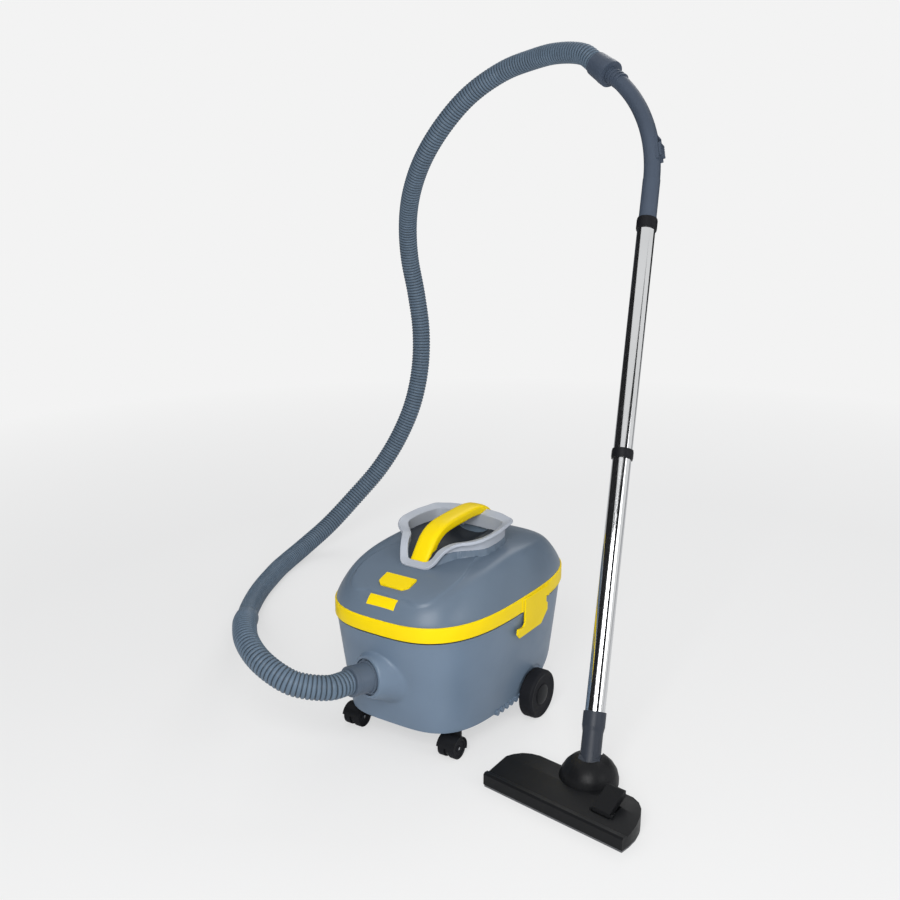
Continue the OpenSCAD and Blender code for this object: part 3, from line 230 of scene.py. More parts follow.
def spaced(path, count):
    """Points at equal spacing along a dense path."""
    k = np.concatenate([[0], np.cumsum(np.linalg.norm(np.diff(path, axis=0), axis=1))])
    s = np.linspace(0, k[-1], count + 1)
    return np.stack([np.interp(s, k, path[:, i]) for i in range(3)], 1)


def unit(v):
    return v / np.linalg.norm(v)


def headings(path):
    t = np.gradient(path, axis=0)
    return t / np.linalg.norm(t, axis=1)[:, None]


def carried_sides(way, first):
    """A side direction carried along a path without twisting about it."""
    sides = []
    v = np.asarray(first, float)
    for t in way:
        v = unit(v - (v @ t) * t)
        sides.append(v)
    return np.array(sides)


# ---- materials
def node_tree(name):
    material = bpy.data.materials.new(name)
    material.use_nodes = True
    tree = material.node_tree
    shader = tree.nodes["Principled BSDF"]
    return material, tree, shader


def add(tree, kind, **inputs):
    node = tree.nodes.new(kind)
    for key, value in inputs.items():
        if key in node.inputs:
            node.inputs[key].default_value = value
        else:
            setattr(node, key, value)
    return node


def noise(tree, scale, detail=3.0, rough=0.5, stretch=None):
    place = add(tree, "ShaderNodeTexCoord")
    texture = add(tree, "ShaderNodeTexNoise", Scale=scale, Detail=detail, Roughness=rough)
    if stretch is None:
        tree.links.new(place.outputs["Object"], texture.inputs["Vector"])
    else:
        turn = add(tree, "ShaderNodeMapping")
        turn.inputs["Scale"].default_value = stretch
        tree.links.new(place.outputs["Object"], turn.inputs["Vector"])
        tree.links.new(turn.outputs["Vector"], texture.inputs["Vector"])
    return texture.outputs["Fac"]


def ranged(tree, value, low, high, from_low=0.3, from_high=0.7):
    node = add(tree, "ShaderNodeMapRange")
    for key, number in (("From Min", from_low), ("From Max", from_high), ("To Min", low), ("To Max", high)):
        node.inputs[key].default_value = number
    tree.links.new(value, node.inputs["Value"])
    return node.outputs["Result"]


def tinted(tree, fac, low, high):
    mix = add(tree, "ShaderNodeMix")
    mix.data_type = "RGBA"
    mix.inputs["A"].default_value = (*low, 1)
    mix.inputs["B"].default_value = (*high, 1)
    tree.links.new(fac, mix.inputs["Factor"])
    return mix.outputs["Result"]


def bumped(tree, shader, height, strength, distance):
    bump = add(tree, "ShaderNodeBump")
    bump.inputs["Strength"].default_value = strength
    bump.inputs["Distance"].default_value = distance
    tree.links.new(height, bump.inputs["Height"])
    tree.links.new(bump.outputs["Normal"], shader.inputs["Normal"])


def linear(r, g, b):
    """Linear colour of an 8-bit sRGB one."""
    return tuple(
        c / 12.92 if c <= 0.04045 else ((c + 0.055) / 1.055) ** 2.4 for c in (r / 255, g / 255, b / 255)
    )


def scaled(colour, share):
    return tuple(c * share for c in colour)


def moulded(name, colour, roughness, grain=2400.0, depth=0.00005, mottle=0.06, gloss=0.22):
    """Moulded plastic: fine spark-eroded grain, slight mottling and patches of handling shine."""
    material, tree, shader = node_tree(name)
    patches = noise(tree, 9.0, detail=4)
    fac = ranged(tree, patches, 0, 1)
    base = tinted(tree, fac, scaled(colour, 1 - mottle), scaled(colour, 1 + mottle))
    tree.links.new(base, shader.inputs["Base Color"])
    rough = ranged(tree, noise(tree, 24.0, detail=5), roughness - 0.05, roughness + 0.07)
    tree.links.new(rough, shader.inputs["Roughness"])
    bumped(tree, shader, noise(tree, grain, detail=2), 0.35, depth)
    shader.inputs["Specular IOR Level"].default_value = gloss
    return material


def metal(name, colour, roughness, streak=(1, 1, 1)):
    """Metal with fine drawing lines and faint smudges."""
    material, tree, shader = node_tree(name)
    shader.inputs["Metallic"].default_value = 1.0
    fac = ranged(tree, noise(tree, 7.0, detail=4), 0, 1)
    tree.links.new(tinted(tree, fac, scaled(colour, 0.93), colour), shader.inputs["Base Color"])
    tree.links.new(
        ranged(tree, noise(tree, 40.0, detail=5, stretch=streak), roughness * 0.7, roughness * 1.5),
        shader.inputs["Roughness"],
    )
    bumped(tree, shader, noise(tree, 900.0, detail=2, stretch=streak), 0.2, 0.00001)
    return material


def hose_plastic(name, colour):
    """Ribbed hose: painted shade darkens the grooves and a painted highlight lightens the crests, with a
    faint random mottle.
    """
    material, tree, shader = node_tree(name)
    groove = add(tree, "ShaderNodeAttribute")
    groove.attribute_name = "groove"
    # the rib height drives painted light: painted shade in the grooves, down to a sixth of the colour, and
    # a painted highlight on the crests
    painted_rib_light = ranged(tree, groove.outputs["Fac"], 0, 1, 0.05, 0.85)
    base = tinted(tree, painted_rib_light, scaled(colour, 0.16), scaled(colour, 1.12))
    rub = tinted(tree, ranged(tree, noise(tree, 30.0), 0, 1), (0.92, 0.92, 0.92), (1.08, 1.08, 1.08))
    mix = add(tree, "ShaderNodeMix")
    mix.data_type = "RGBA"
    mix.blend_type = "MULTIPLY"
    mix.inputs["Factor"].default_value = 1
    tree.links.new(base, mix.inputs["A"])
    tree.links.new(rub, mix.inputs["B"])
    tree.links.new(mix.outputs["Result"], shader.inputs["Base Color"])
    tree.links.new(ranged(tree, noise(tree, 55.0), 0.36, 0.5), shader.inputs["Roughness"])
    bumped(tree, shader, noise(tree, 1800.0), 0.2, 0.00004)
    shader.inputs["Specular IOR Level"].default_value = 0.25
    return material


def cloth(name, colour, thread=900.0):
    """Non-woven cloth or felt: fibres, blotches and no shine."""
    material, tree, shader = node_tree(name)
    fibres = noise(tree, thread, detail=6, rough=0.7)
    tree.links.new(
        tinted(tree, ranged(tree, fibres, 0, 1), scaled(colour, 0.8), scaled(colour, 1.08)),
        shader.inputs["Base Color"],
    )
    shader.inputs["Roughness"].default_value = 0.95
    shader.inputs["Sheen Weight"].default_value = 0.25
    bumped(tree, shader, fibres, 0.6, 0.0003)
    return material


MATERIALS = {
    "tub_grey": moulded("tub_grey", linear(106, 123, 142), 0.35, gloss=0.28),
    "lid_grey": moulded("lid_grey", linear(99, 114, 130), 0.34, mottle=0.05, gloss=0.3),
    "yellow": moulded("yellow", linear(242, 211, 2), 0.4, mottle=0.04, depth=0.00003, gloss=0.16),
    "frame_grey": moulded("frame_grey", linear(172, 178, 188), 0.42),
    "hose_grey": moulded("hose_grey", linear(86, 98, 113), 0.4),
    "handle_grey": moulded("handle_grey", linear(70, 80, 95), 0.42),
    "black_plastic": moulded("black_plastic", linear(24, 25, 28), 0.42, gloss=0.15),
    "head_black": moulded("head_black", linear(20, 21, 23), 0.42, gloss=0.16),
    "chrome_tube": metal("chrome_tube", (0.72, 0.73, 0.74), 0.09, streak=(1, 1, 0.06)),
    "steel": metal("steel", (0.55, 0.56, 0.58), 0.28),
    "wheel_rubber": moulded("wheel_rubber", linear(26, 27, 31), 0.6, grain=1500, depth=0.0001, gloss=0.12),
    "seal_rubber": moulded("seal_rubber", linear(28, 28, 30), 0.7, grain=1200, depth=0.0001),
    "motor_case": metal("motor_case", (0.5, 0.51, 0.53), 0.35),
    "paper_bag": cloth("paper_bag", linear(214, 202, 176)),
    "filter_foam": cloth("filter_foam", linear(200, 203, 208), thread=500.0),
    "bag_card": cloth("bag_card", linear(170, 152, 122), thread=700.0),
    "bristle": moulded("bristle", linear(30, 30, 33), 0.6, grain=1500),
}
OWN_MATERIAL = {  # where a node looks unlike the rest of its slot
    "hose": hose_plastic("ribbed_hose", linear(88, 104, 120)),
    "neck": moulded("neck_slate", linear(48, 53, 62), 0.42),
    "sole_plate": metal("sole_steel", (0.2, 0.205, 0.215), 0.45),
}
# dark colour of the sheet inside the cord frame, painted shade for the frame's hollow
FRAME_SHADE_MATERIAL = moulded("frame_painted_shade", linear(46, 51, 58), 0.5, gloss=0.15)
SLOT_OF = {row["node"]: row["material_slot"] for row in frame["record"]["subparts"]}
BODIES = frame["record"]["behaviour"]["bodies"]
BODY_OF = {node: body for body, members in BODIES.items() for node in members}

for node_name, node_object in frame["nodes"].items():
    node_object.data.materials.clear()
    node_object.data.materials.append(MATERIALS[SLOT_OF[node_name]])


def finished(obj, node):
    """The piece that stands for one CAD node, on its body and in its slot."""
    material = OWN_MATERIAL.get(node) or MATERIALS[SLOT_OF[node]]
    return piece(obj, BODY_OF[node], material, [node])


# ---- hose
HOSE_D = 0.044
HOSE_BORE_R = 0.0175
RIB_DEPTH = 0.0025
RIBS = 400
RIB_SHAPE = (0.0, 0.8, 1.0, 1.0, 0.8)  # height of a rib across one pitch
HOSE_SIDES = 28
BORE_EVERY = 10  # the bore has a ring for every so many outer ones
CURVE_STEPS = 12
INLET_WAY = np.array((-0.27497, -0.95894, 0.06976))
CUFF_WAY = np.array((-0.84593, 0.31167, 0.43279))
HOSE_START = np.array((-0.02905, -0.27387, 0.15432))
HOSE_END = np.array((-0.01957, 0.54958, 1.18314))
HOSE_LAY = [
    (-0.080, -0.352, 0.168), (-0.115, -0.363, 0.182), (-0.160, -0.359, 0.198), (-0.206, -0.336, 0.210),
    (-0.248, -0.296, 0.213), (-0.283, -0.255, 0.201), (-0.349, -0.184, 0.162), (-0.412, -0.119, 0.122),
    (-0.474, -0.055, 0.082), (-0.537, 0.011, 0.047), (-0.597, 0.084, 0.028), (-0.648, 0.165, 0.022),
    (-0.689, 0.253, 0.022), (-0.723, 0.343, 0.022), (-0.740, 0.438, 0.033), (-0.732, 0.527, 0.067),
    (-0.706, 0.600, 0.125), (-0.668, 0.656, 0.194), (-0.631, 0.692, 0.275), (-0.602, 0.715, 0.363),
    (-0.588, 0.729, 0.456), (-0.587, 0.733, 0.550), (-0.595, 0.725, 0.644), (-0.598, 0.702, 0.736),
    (-0.580, 0.671, 0.823), (-0.542, 0.636, 0.903), (-0.492, 0.612, 0.980), (-0.434, 0.607, 1.054),
    (-0.368, 0.615, 1.121), (-0.286, 0.622, 1.171), (-0.200, 0.611, 1.196), (-0.130, 0.588, 1.206),
]


def ring_points(path, way, side, radii, sides):
    """Round rings of points square to a path, all in one stack."""
    a = np.arange(sides) * 2 * np.pi / sides
    other = np.cross(way, side)
    spread = np.cos(a)[None, :, None] * side[:, None] + np.sin(a)[None, :, None] * other[:, None]
    return (path[:, None] + np.asarray(radii)[:, None, None] * spread).reshape(-1, 3)


def tube_with_bore(name, outer, outer_rings, inner, inner_rings, sides):
    """A tube whose outer and inner walls are stacks of rings, closed by a ring-shaped face at each end."""
    base = outer_rings * sides
    skin = loft_faces(outer_rings, sides)
    bore = [tuple(base + i for i in reversed(f)) for f in loft_faces(inner_rings, sides)]
    ends = []
    for out, inn, turn in ((0, base, 1), (base - sides, base + (inner_rings - 1) * sides, -1)):
        for i in range(sides):
            k = (i + 1) % sides
            ends.append((out + k, out + i, inn + i, inn + k)[::turn])
    return new_object(name, np.concatenate([outer, inner]), skin + bore + ends)


def make_hose():
    """The ribbed hose from the inlet to the handle, with the connector and the cuff at its ends."""
    route = [HOSE_START, HOSE_START + HOSE_D * INLET_WAY, *HOSE_LAY, HOSE_END + HOSE_D * CUFF_WAY, HOSE_END]
    steps = RIBS * len(RIB_SHAPE)
    path = spaced(smooth_path(route, CURVE_STEPS, INLET_WAY, -CUFF_WAY), steps)
    path = path + np.array(MIDDLE)
    path[:, 2] = np.maximum(path[:, 2], HOSE_D / 2)  # where it comes down, it lies on the floor
    way = headings(path)
    side = carried_sides(way, (0, 0, 1))
    height = np.array([RIB_SHAPE[i % len(RIB_SHAPE)] for i in range(steps + 1)])
    outer = ring_points(path, way, side, HOSE_D / 2 - RIB_DEPTH * (1 - height), HOSE_SIDES)
    few = np.arange(0, steps + 1, BORE_EVERY)
    inner = ring_points(path[few], way[few], side[few], np.full(len(few), HOSE_BORE_R), HOSE_SIDES)
    hose = tube_with_bore("ribbed_hose", outer, steps + 1, inner, len(few), HOSE_SIDES)
    # rib heights, which the hose material turns into painted shade in the grooves and a painted highlight
    # on the crests
    groove = hose.data.attributes.new("groove", "FLOAT", "POINT")
    values = np.concatenate([np.repeat(height, HOSE_SIDES), np.zeros(len(inner))])
    groove.data.foreach_set("value", values.astype(np.float32))
    finished(hose, "hose")
    dressed("hose_connector", 0.0006)
    dressed("hose_cuff", 0.0006)


# ---- pieces that keep their CAD shape, with softened edges
WELD = 0.00002  # points closer than this become one
FLAT = math.radians(0.6)  # faces closer than this in angle become one


def dressed(node, width):
    """A copy of a CAD node's mesh, welded, with its sharp edges rounded."""
    obj = bpy.data.objects.new(node + "_moulded", frame["nodes"][node].data.copy())
    bpy.context.scene.collection.objects.link(obj)
    bm = bmesh.new()
    bm.from_mesh(obj.data)
    bmesh.ops.remove_doubles(bm, verts=bm.verts, dist=WELD)
    bmesh.ops.dissolve_limit(bm, angle_limit=FLAT, verts=bm.verts, edges=bm.edges)
    bm.to_mesh(obj.data)
    bm.free()
    if "custom_normal" in obj.data.attributes:
        obj.data.attributes.remove(obj.data.attributes["custom_normal"])
    smooth_by_angle(obj)
    soften(obj, width, clamp=True)
    return finished(obj, node)


make_hose()

# ---- canister shells
RIM_N = 3.02  # squareness of the outline at the tub's rim
BASE_N = 3.6  # and at its lower edge
TUB_Z = 0.049
BASE_HW = 0.137
BASE_HL = 0.194
WALL = 0.003
TAIL_Z = 0.084
WHEEL_Y = 0.057
WHEEL_R = 0.046
BASE_ROUND = 0.006  # rounding of the tub's lower edge
LIP_H = 0.004
LIP_OUT = 0.0008  # how far the lip under the rim stands out
COLUMNS = 320  # points round the outlines
TUB_ROWS = 60


def superellipse(a, hw, hl, n):
    return hw * signed_pow(np.cos(a), 2 / n), hl * signed_pow(np.sin(a), 2 / n)


def even_angles(hw, hl, n, count):
    """Angles at which the outline's points are equally spaced."""
    a = np.linspace(0, 2 * np.pi, 6001)
    x, y = superellipse(a, hw, hl, n)
    k = np.concatenate([[0], np.cumsum(np.hypot(np.diff(x), np.diff(y)))])
    return np.interp(np.arange(count) / count * k[-1], k, a)


ROUND = even_angles(TUB_HW, TUB_HL, RIM_N, COLUMNS)


def shell(name, outer, inner):
    """A closed shell from an outer and an inner stack of rings, each from the open rim to the far end."""
    count = outer.shape[1]
    skin = loft_faces(len(outer), count)
    base = outer.shape[0] * count
    lining = [tuple(base + i for i in reversed(f)) for f in loft_faces(len(inner), count)]
    rim = [(i, base + i, base + (i + 1) % count, (i + 1) % count) for i in range(count)]
    far = (len(outer) - 1) * count
    near = base + (len(inner) - 1) * count
    caps = [tuple(far + i for i in range(count)), tuple(near + i for i in reversed(range(count)))]
    points = np.concatenate([outer.reshape(-1, 3), inner.reshape(-1, 3)]) + np.array(MIDDLE)
    return outward(new_object(name, points, skin + lining + rim + caps))


def tub_size(z):
    """Half width, half length and squareness of the tub's outline at the height z."""
    t = (z - TUB_Z) / (RIM_Z - TUB_Z)
    return BASE_HW + (TUB_HW - BASE_HW) * t, BASE_HL + (TUB_HL - BASE_HL) * t, BASE_N + (RIM_N - BASE_N) * t


def tub_ring(z, out=0.0):
    """Points of the tub's outline at the heights z, one for each column."""
    hw, hl, n = tub_size(z)
    x, y = superellipse(ROUND, hw + out, hl + out, n)
    return np.stack([x, y, z * np.ones_like(x)], 1)


def underside(y, lift=0.0):
    """Height of the tub's underside: level, then rising at the tail."""
    tail = [WHEEL_Y + 0.024, WHEEL_Y + 0.062, WHEEL_Y + 0.090]
    return np.interp(y, tail, [TUB_Z, TAIL_Z - 0.012, TAIL_Z]) + lift


INLET = np.array((-0.012, -0.21443, 0.150))  # where the inlet's axis meets the tub's front
BOSS_R = 0.038  # the boss round the inlet
BOSS_OUT = 0.025
BOSS_FLARE = 0.36
BOSS_REACH = 0.105  # the boss's blend ends this far from its axis
BORE_R = 0.0272
RECESS_R = 0.033  # the step round the bore's mouth
RECESS = 0.006
BOSS_ROUND = 0.004
BOSS_BLEND = 0.008
BOSS_TOP = RIM_Z - LIP_H - 0.002  # the lip above this height keeps its shape
FRONT_Y = -0.1  # the front wall lies before this
# distances from the inlet's axis, and where the wall's points at those distances are gathered to
GATHER = ([0, 0.028, 0.066, BOSS_REACH], [0, 0.0355, 0.052, BOSS_REACH])


def soft_min(a, b, k):
    """The smaller of two, blended where they differ by less than k."""
    h = np.clip(0.5 + 0.5 * (b - a) / k, 0, 1)
    return b * (1 - h) + a * h - k * h * (1 - h)


def soft_max(a, b, k):
    return -soft_min(-a, -b, k)


def front_y(x, z):
    """Place of the tub's front wall."""
    hw, hl, n = tub_size(z)
    return -hl * (1 - np.minimum(0.999, np.abs(x) / hw) ** n) ** (1 / n)


def raise_boss(p):
    """Gathers the wall's points round the inlet and lifts them into the boss, with soft blends."""
    off = p[:, [0, 2]] - INLET[[0, 2]]
    d = np.linalg.norm(off, axis=1)
    near = (p[:, 1] < FRONT_Y) & (d < BOSS_REACH)
    q = p[near]
    d = np.maximum(d[near], 1e-6)
    gathered = np.interp(d, *GATHER)
    moved = off[near] * (gathered / d)[:, None]
    keep = q[:, 2] > BOSS_TOP
    q[:, 0] = np.where(keep, q[:, 0], INLET[0] + moved[:, 0])
    q[:, 2] = np.where(keep, q[:, 2], np.clip(INLET[2] + moved[:, 1], TUB_Z, BOSS_TOP))
    q[:, 1] = np.where(keep, q[:, 1], front_y(q[:, 0], q[:, 2]))
    along = (q - INLET) @ INLET_WAY
    r = np.linalg.norm(q - INLET - along[:, None] * INLET_WAY, axis=1)
    cone = soft_min(np.full_like(r, BOSS_OUT), BOSS_OUT - (r - BOSS_R) / BOSS_FLARE, BOSS_ROUND)
    q = q + (soft_max(cone, along, BOSS_BLEND) - along)[:, None] * INLET_WAY
    p[near] = q
    return p


def box_at(name, low, high):
    x, y, z = zip(low, high)
    points = [at(x[i], y[j], z[k]) for i in (0, 1) for j in (0, 1) for k in (0, 1)]
    faces = [(0, 1, 3, 2), (4, 6, 7, 5), (0, 4, 5, 1), (2, 3, 7, 6), (0, 2, 6, 4), (1, 5, 7, 3)]
    return outward(new_object(name, points, faces, False))


CYLINDER_SIDES = 96


def cylinder_at(name, start, way, length, radius):
    sides = CYLINDER_SIDES
    way = unit(np.asarray(way, float))
    side = unit(np.cross(way, (0, 0, 1) if abs(way[2]) < 0.9 else (1, 0, 0)))
    path = np.array([start, np.asarray(start, float) + length * way]) + np.array(MIDDLE)
    rings = ring_points(path, np.array([way, way]), np.array([side, side]), np.full(2, radius), sides)
    caps = [tuple(range(sides)), tuple(reversed(range(sides, 2 * sides)))]
    return outward(new_object(name, rings, loft_faces(2, sides) + caps, False))


def prism_at(name, polygon, low, high, frame_matrix):
    """An upright prism over a polygon, in a local frame of the canister."""
    n = len(polygon)
    matrix = Matrix.Translation(MIDDLE) @ frame_matrix
    points = [matrix @ Vector((x, y, z)) for z in (low, high) for x, y in polygon]
    faces = [tuple(reversed(range(n))), tuple(range(n, 2 * n))]
    return outward(new_object(name, points, loft_faces(2, n) + faces, False))


WELL_X = BASE_HW
WELL_R = WHEEL_R + 0.006
WELL_RIM = 0.003  # how far a well's back reaches past the well
AXLE_FLOOR = WHEEL_R + 0.010
CHANNEL_HALF = 0.011
CHANNEL_LOW = 0.04
CHANNEL_END = BASE_HW - 0.014
FOOT_FIRST = -0.058  # the short feet under each side
FOOT_PITCH = 0.016
FOOT_DEPTH = 0.015
FOOT_OUT = 0.003
FOOT_DROP = 0.004  # how far a foot hangs below the tub
FEET = 6
FOOT_R = 0.0058
OVER = 0.0005  # small step that keeps the faces of joined solids apart


def scaled_rings(ring, shares, lift=0.0):
    """Rings drawn in towards the middle of the tub's underside."""
    rings = []
    for share in shares:
        inner = ring.copy()
        inner[:, :2] *= share
        inner[:, 2] = underside(inner[:, 1], lift)
        rings.append(inner)
    return rings


def tub_rows(low):
    """The tub's outside, from the rim over the lip and down to the middle of the underside."""
    top = RIM_Z - LIP_H - 0.0004
    first = low + BASE_ROUND
    lip = ((RIM_Z, LIP_OUT - 0.0006), (RIM_Z - 0.0005, LIP_OUT), (RIM_Z - LIP_H, LIP_OUT), (top, 0.0))
    rows = [tub_ring(np.full(COLUMNS, z), out) for z, out in lip]
    downs = np.linspace(0, 1, TUB_ROWS)[1:] ** 0.9
    rows += [raise_boss(tub_ring(top + (first - top) * h)) for h in downs]
    for turn in np.radians([70, 50, 30, 12, 0]):
        z = low + BASE_ROUND * (1 - math.sin(turn))
        rows.append(tub_ring(z, -BASE_ROUND * (1 - math.sin(turn))))
    return rows + scaled_rings(tub_ring(low, -BASE_ROUND), (0.8, 0.55, 0.3, 0.08))


def tub_lining(low):
    """The tub's inside, from the rim down."""
    inner_low = low + WALL
    rows = [tub_ring(RIM_Z + (inner_low - RIM_Z) * h, -WALL) for h in np.linspace(0, 1, 9)]
    return rows + scaled_rings(tub_ring(inner_low, -WALL), (0.8, 0.5, 0.08), WALL)


def channel(name, half_y, end, low, high):
    """A bar along the rear axle, from -end to end."""
    return box_at(name, (-end, WHEEL_Y - half_y, low), (end, WHEEL_Y + half_y, high))


def tub_cuts():
    """The inlet's bore and recess, the wheel wells and the channel for the axle."""
    recess = INLET + (BOSS_OUT - RECESS) * INLET_WAY
    cuts = [
        cylinder_at("cut", recess, INLET_WAY, 0.06, RECESS_R),
        cylinder_at("cut", INLET - 0.05 * INLET_WAY, INLET_WAY, 0.12, BORE_R),
    ]
    for side in (-1, 1):
        cuts.append(cylinder_at("cut", (side * WELL_X, WHEEL_Y, WHEEL_R), (side, 0, 0), 0.03, WELL_R))
    return cuts + [channel("cut", CHANNEL_HALF, CHANNEL_END, CHANNEL_LOW, AXLE_FLOOR)]


def tub_additions():
    """The wells' backs, the channel's roof and the feet under both sides."""
    parts = []
    for side in (-1, 1):
        centre = (side * (WELL_X - WALL), WHEEL_Y, WHEEL_R)
        back = cylinder_at("back", centre, (side, 0, 0), WALL, WELL_R + WELL_RIM)
        boolean(back, [box_at("cut", (-0.2, -0.02, -0.02), (0.2, 0.14, TUB_Z + OVER))], "DIFFERENCE")
        parts.append(back)
    roof = channel("roof", CHANNEL_HALF + WALL, CHANNEL_END + 0.01, TUB_Z + 2 * OVER, AXLE_FLOOR)
    hollow = channel("cut", CHANNEL_HALF, CHANNEL_END, CHANNEL_LOW, AXLE_FLOOR - WALL)
    parts.append(boolean(roof, [hollow], "DIFFERENCE"))
    for side in (-1, 1):
        for i in range(FEET):
            x = side * (BASE_HW - FOOT_DEPTH)
            start = (x, FOOT_FIRST + i * FOOT_PITCH, TUB_Z + FOOT_R - FOOT_DROP)
            parts.append(cylinder_at("foot", start, (side, 0, 0), FOOT_DEPTH + FOOT_OUT, FOOT_R))
    return parts


def make_tub():
    # height of the lower edge at each column, found in two steps because the outline leans inwards
    low = underside(tub_ring(np.full(COLUMNS, TUB_Z))[:, 1])
    low = underside(tub_ring(low)[:, 1])
    tub = shell("tub_shell", np.array(tub_rows(low)), np.array(tub_lining(low)))
    boolean(tub, tub_cuts(), "DIFFERENCE")
    boolean(tub, tub_additions(), "UNION")
    smooth_by_angle(tub, 38)
    return finished(tub, "tub")


make_tub()

# ---- lid
LID_HW = TUB_HW + 0.001
LID_HL = TUB_HL + 0.001
DOME_H = 0.071
CROWN_V = 0.08
CROWN_FALL = 0.54
FLANK_RISE = 2.96
FLANK_N = 0.74
SADDLE_RISE = 0.003
SADDLE_RAMP = 0.0028
SADDLE_FADE_Y = 0.010
SADDLE_FADE = 0.090
LID_ROWS = 150
LID_CROWD = 1.7  # above 1 the rows crowd together at the rim
LID_LAST = 0.008  # share of the outline that the last row keeps
# right half of the saddle's outline, from the front to the rear
SADDLE_SIDE = [
    (0, -0.204), (0.040, -0.203), (0.065, -0.207), (0.084, -0.194), (0.094, -0.163), (0.098, -0.131),
    (0.094, -0.096), (0.084, -0.062), (0.082, -0.022), (0.080, 0.040), (0.066, 0.098), (0, 0.104),
]
# right half of the cord frame's inner and outer edges, in millimetres
FRAME_SIDE = [
    ((0, -110), (0, -124)), ((18, -109), (24, -123)), ((27, -101), (36, -113)), ((33, -92), (45, -99)),
    ((40, -79), (53, -85)), ((48, -63), (62, -71)), ((62, -48), (78, -58)), ((76, -33), (91, -43)),
    ((83, -18), (97, -24)), ((84, 4), (98, 2)), ((82, 26), (96, 26)), ((78, 46), (92, 49)),
    ((72, 59), (87, 71)), ((60, 64), (70, 79)), ((44, 67), (49, 86)), ((0, 71), (0, 91)),
]
PLATEAU_Z = BAND_TOP + DOME_H + 0.011
HOLLOW_R = 0.060
HOLLOW_Z = BAND_TOP + DOME_H - 0.008 + HOLLOW_R  # height of the hand hollow's axis
HOLLOW_Y = 0.005
HOLLOW_HALF = 0.040  # half of its straight length
HOLLOW_BLEND = 0.003
HANDLE_HW = 0.019
VENT_PITCH = 0.008
VENT_HALF = 0.002
VENTS_A_SIDE = 5


def lid_rise(x, y, hw, hl, h):
    """Height of the bare dome: a steep flank that rolls into a crowned top."""
    v = y / hl
    r = ((np.abs(x) / hw) ** RIM_N + np.abs(v) ** RIM_N) ** (1 / RIM_N)
    flank = np.maximum(1e-5, FLANK_RISE * h * np.maximum(0, 1 - r) ** FLANK_N)
    top = h * (1 - CROWN_FALL * (v - CROWN_V) ** 2)
    return (flank**-8 + top**-8) ** (-1 / 8)


def lid_height(x, y):
    return BAND_TOP + lid_rise(x, y, LID_HW, LID_HL, DOME_H)


FRAME_Z = float(lid_height(0, -0.118)) + SADDLE_RISE - 0.001
PLATEAU_Y = [-0.130, -0.112, -0.090, -0.078, 0.112, 0.128]
PLATEAU_LEVELS = [BAND_TOP + 0.040, FRAME_Z, PLATEAU_Z - 0.003, PLATEAU_Z, PLATEAU_Z, BAND_TOP + 0.040]
PLATEAU_GROW = 0.005  # how far it passes the frame's inner edge
PLATEAU_RAMP = 0.002
TAIL_FIRST = 0.040  # its tongue under the handle's rear end
TAIL_LAST = 0.124


def mirrored(points):
    """A closed outline from its right half, from the front to the rear."""
    half = [np.array(p, float) for p in points]
    return np.array(half + [p * (-1, 1) for p in half[-2:0:-1]])


def frame_ring(k):
    """Outline of the cord frame's inner (0) or outer (1) edge."""
    return mirrored([[c * 0.001 for c in edges[k]] for edges in FRAME_SIDE])


def saddle_lift(x, y):
    """Rise of the saddle above the dome, fading out towards the rear."""
    half = smooth_path(SADDLE_SIDE, 4, (1, 0), (-1, 0))
    inside = inside_distance(np.stack([x, y], 1), mirrored(half))
    fade = 1 - ease((y - SADDLE_FADE_Y) / SADDLE_FADE)
    return SADDLE_RISE * fade * ease((inside + SADDLE_RAMP) / SADDLE_RAMP)


def hollow_height(x, y, radius):
    """Floor of the hand hollow, a round trough with round ends; 1 outside it."""
    rho = np.hypot(x, np.maximum(0, np.abs(y - HOLLOW_Y) - HOLLOW_HALF))
    return np.where(rho < radius, HOLLOW_Z - np.sqrt(np.maximum(0, radius**2 - rho**2)), 1.0)


def plateau_height(x, y, z):
    """The heights z, raised to the plateau that carries the cord frame and the handle."""
    inner, outer = frame_ring(0), frame_ring(1)
    way = (outer - inner) / np.linalg.norm(outer - inner, axis=1)[:, None]
    points = np.stack([x, y], 1)
    inside = inside_distance(points, inner + PLATEAU_GROW * way)
    tail = np.minimum(HANDLE_HW + PLATEAU_GROW - np.abs(x), np.minimum(y - TAIL_FIRST, TAIL_LAST - y))
    share = ease((np.maximum(inside, tail) + PLATEAU_RAMP) / PLATEAU_RAMP)
    return z + np.maximum(0, np.interp(y, PLATEAU_Y, PLATEAU_LEVELS) - z) * share


def lid_surface(x, y):
    z = plateau_height(x, y, lid_height(x, y) + saddle_lift(x, y))
    return soft_min(z, hollow_height(x, y, HOLLOW_R), HOLLOW_BLEND)


BUTTON_Y = -0.170
BUTTON_TILT = math.radians(17)
BUTTON_GAP = 0.0006
BUTTON_HW = 0.032
BUTTON_BACK = 0.014
BUTTON_FRONT = -0.020
BUTTON_CORNER = 0.004
ARC_R = 0.039  # the button's rounded front
ARC_Y = 0.012


def button_outline(grow):
    """The button's outline: straight behind and at the sides, rounded in front."""
    hw, r, back = BUTTON_HW + grow, ARC_R + grow, BUTTON_BACK + grow
    edge = math.asin(min(1, hw / r))
    arc = [(r * math.sin(t), ARC_Y - r * math.cos(t)) for t in np.linspace(-edge, edge, 33)]
    arc = [(x, max(y, BUTTON_FRONT - grow)) for x, y in arc]
    x, y, r = hw - BUTTON_CORNER, back - BUTTON_CORNER, BUTTON_CORNER
    right = [(x + r * math.cos(t), y + r * math.sin(t)) for t in np.linspace(0, math.pi / 2, 6)]
    left = [(-x, y) for x, y in reversed(right)]
    return arc + right + left


def button_frame():
    z = float(lid_height(0, BUTTON_Y)) + SADDLE_RISE
    return Matrix.Translation((0, BUTTON_Y, z)) @ Matrix.Rotation(BUTTON_TILT, 4, "X")


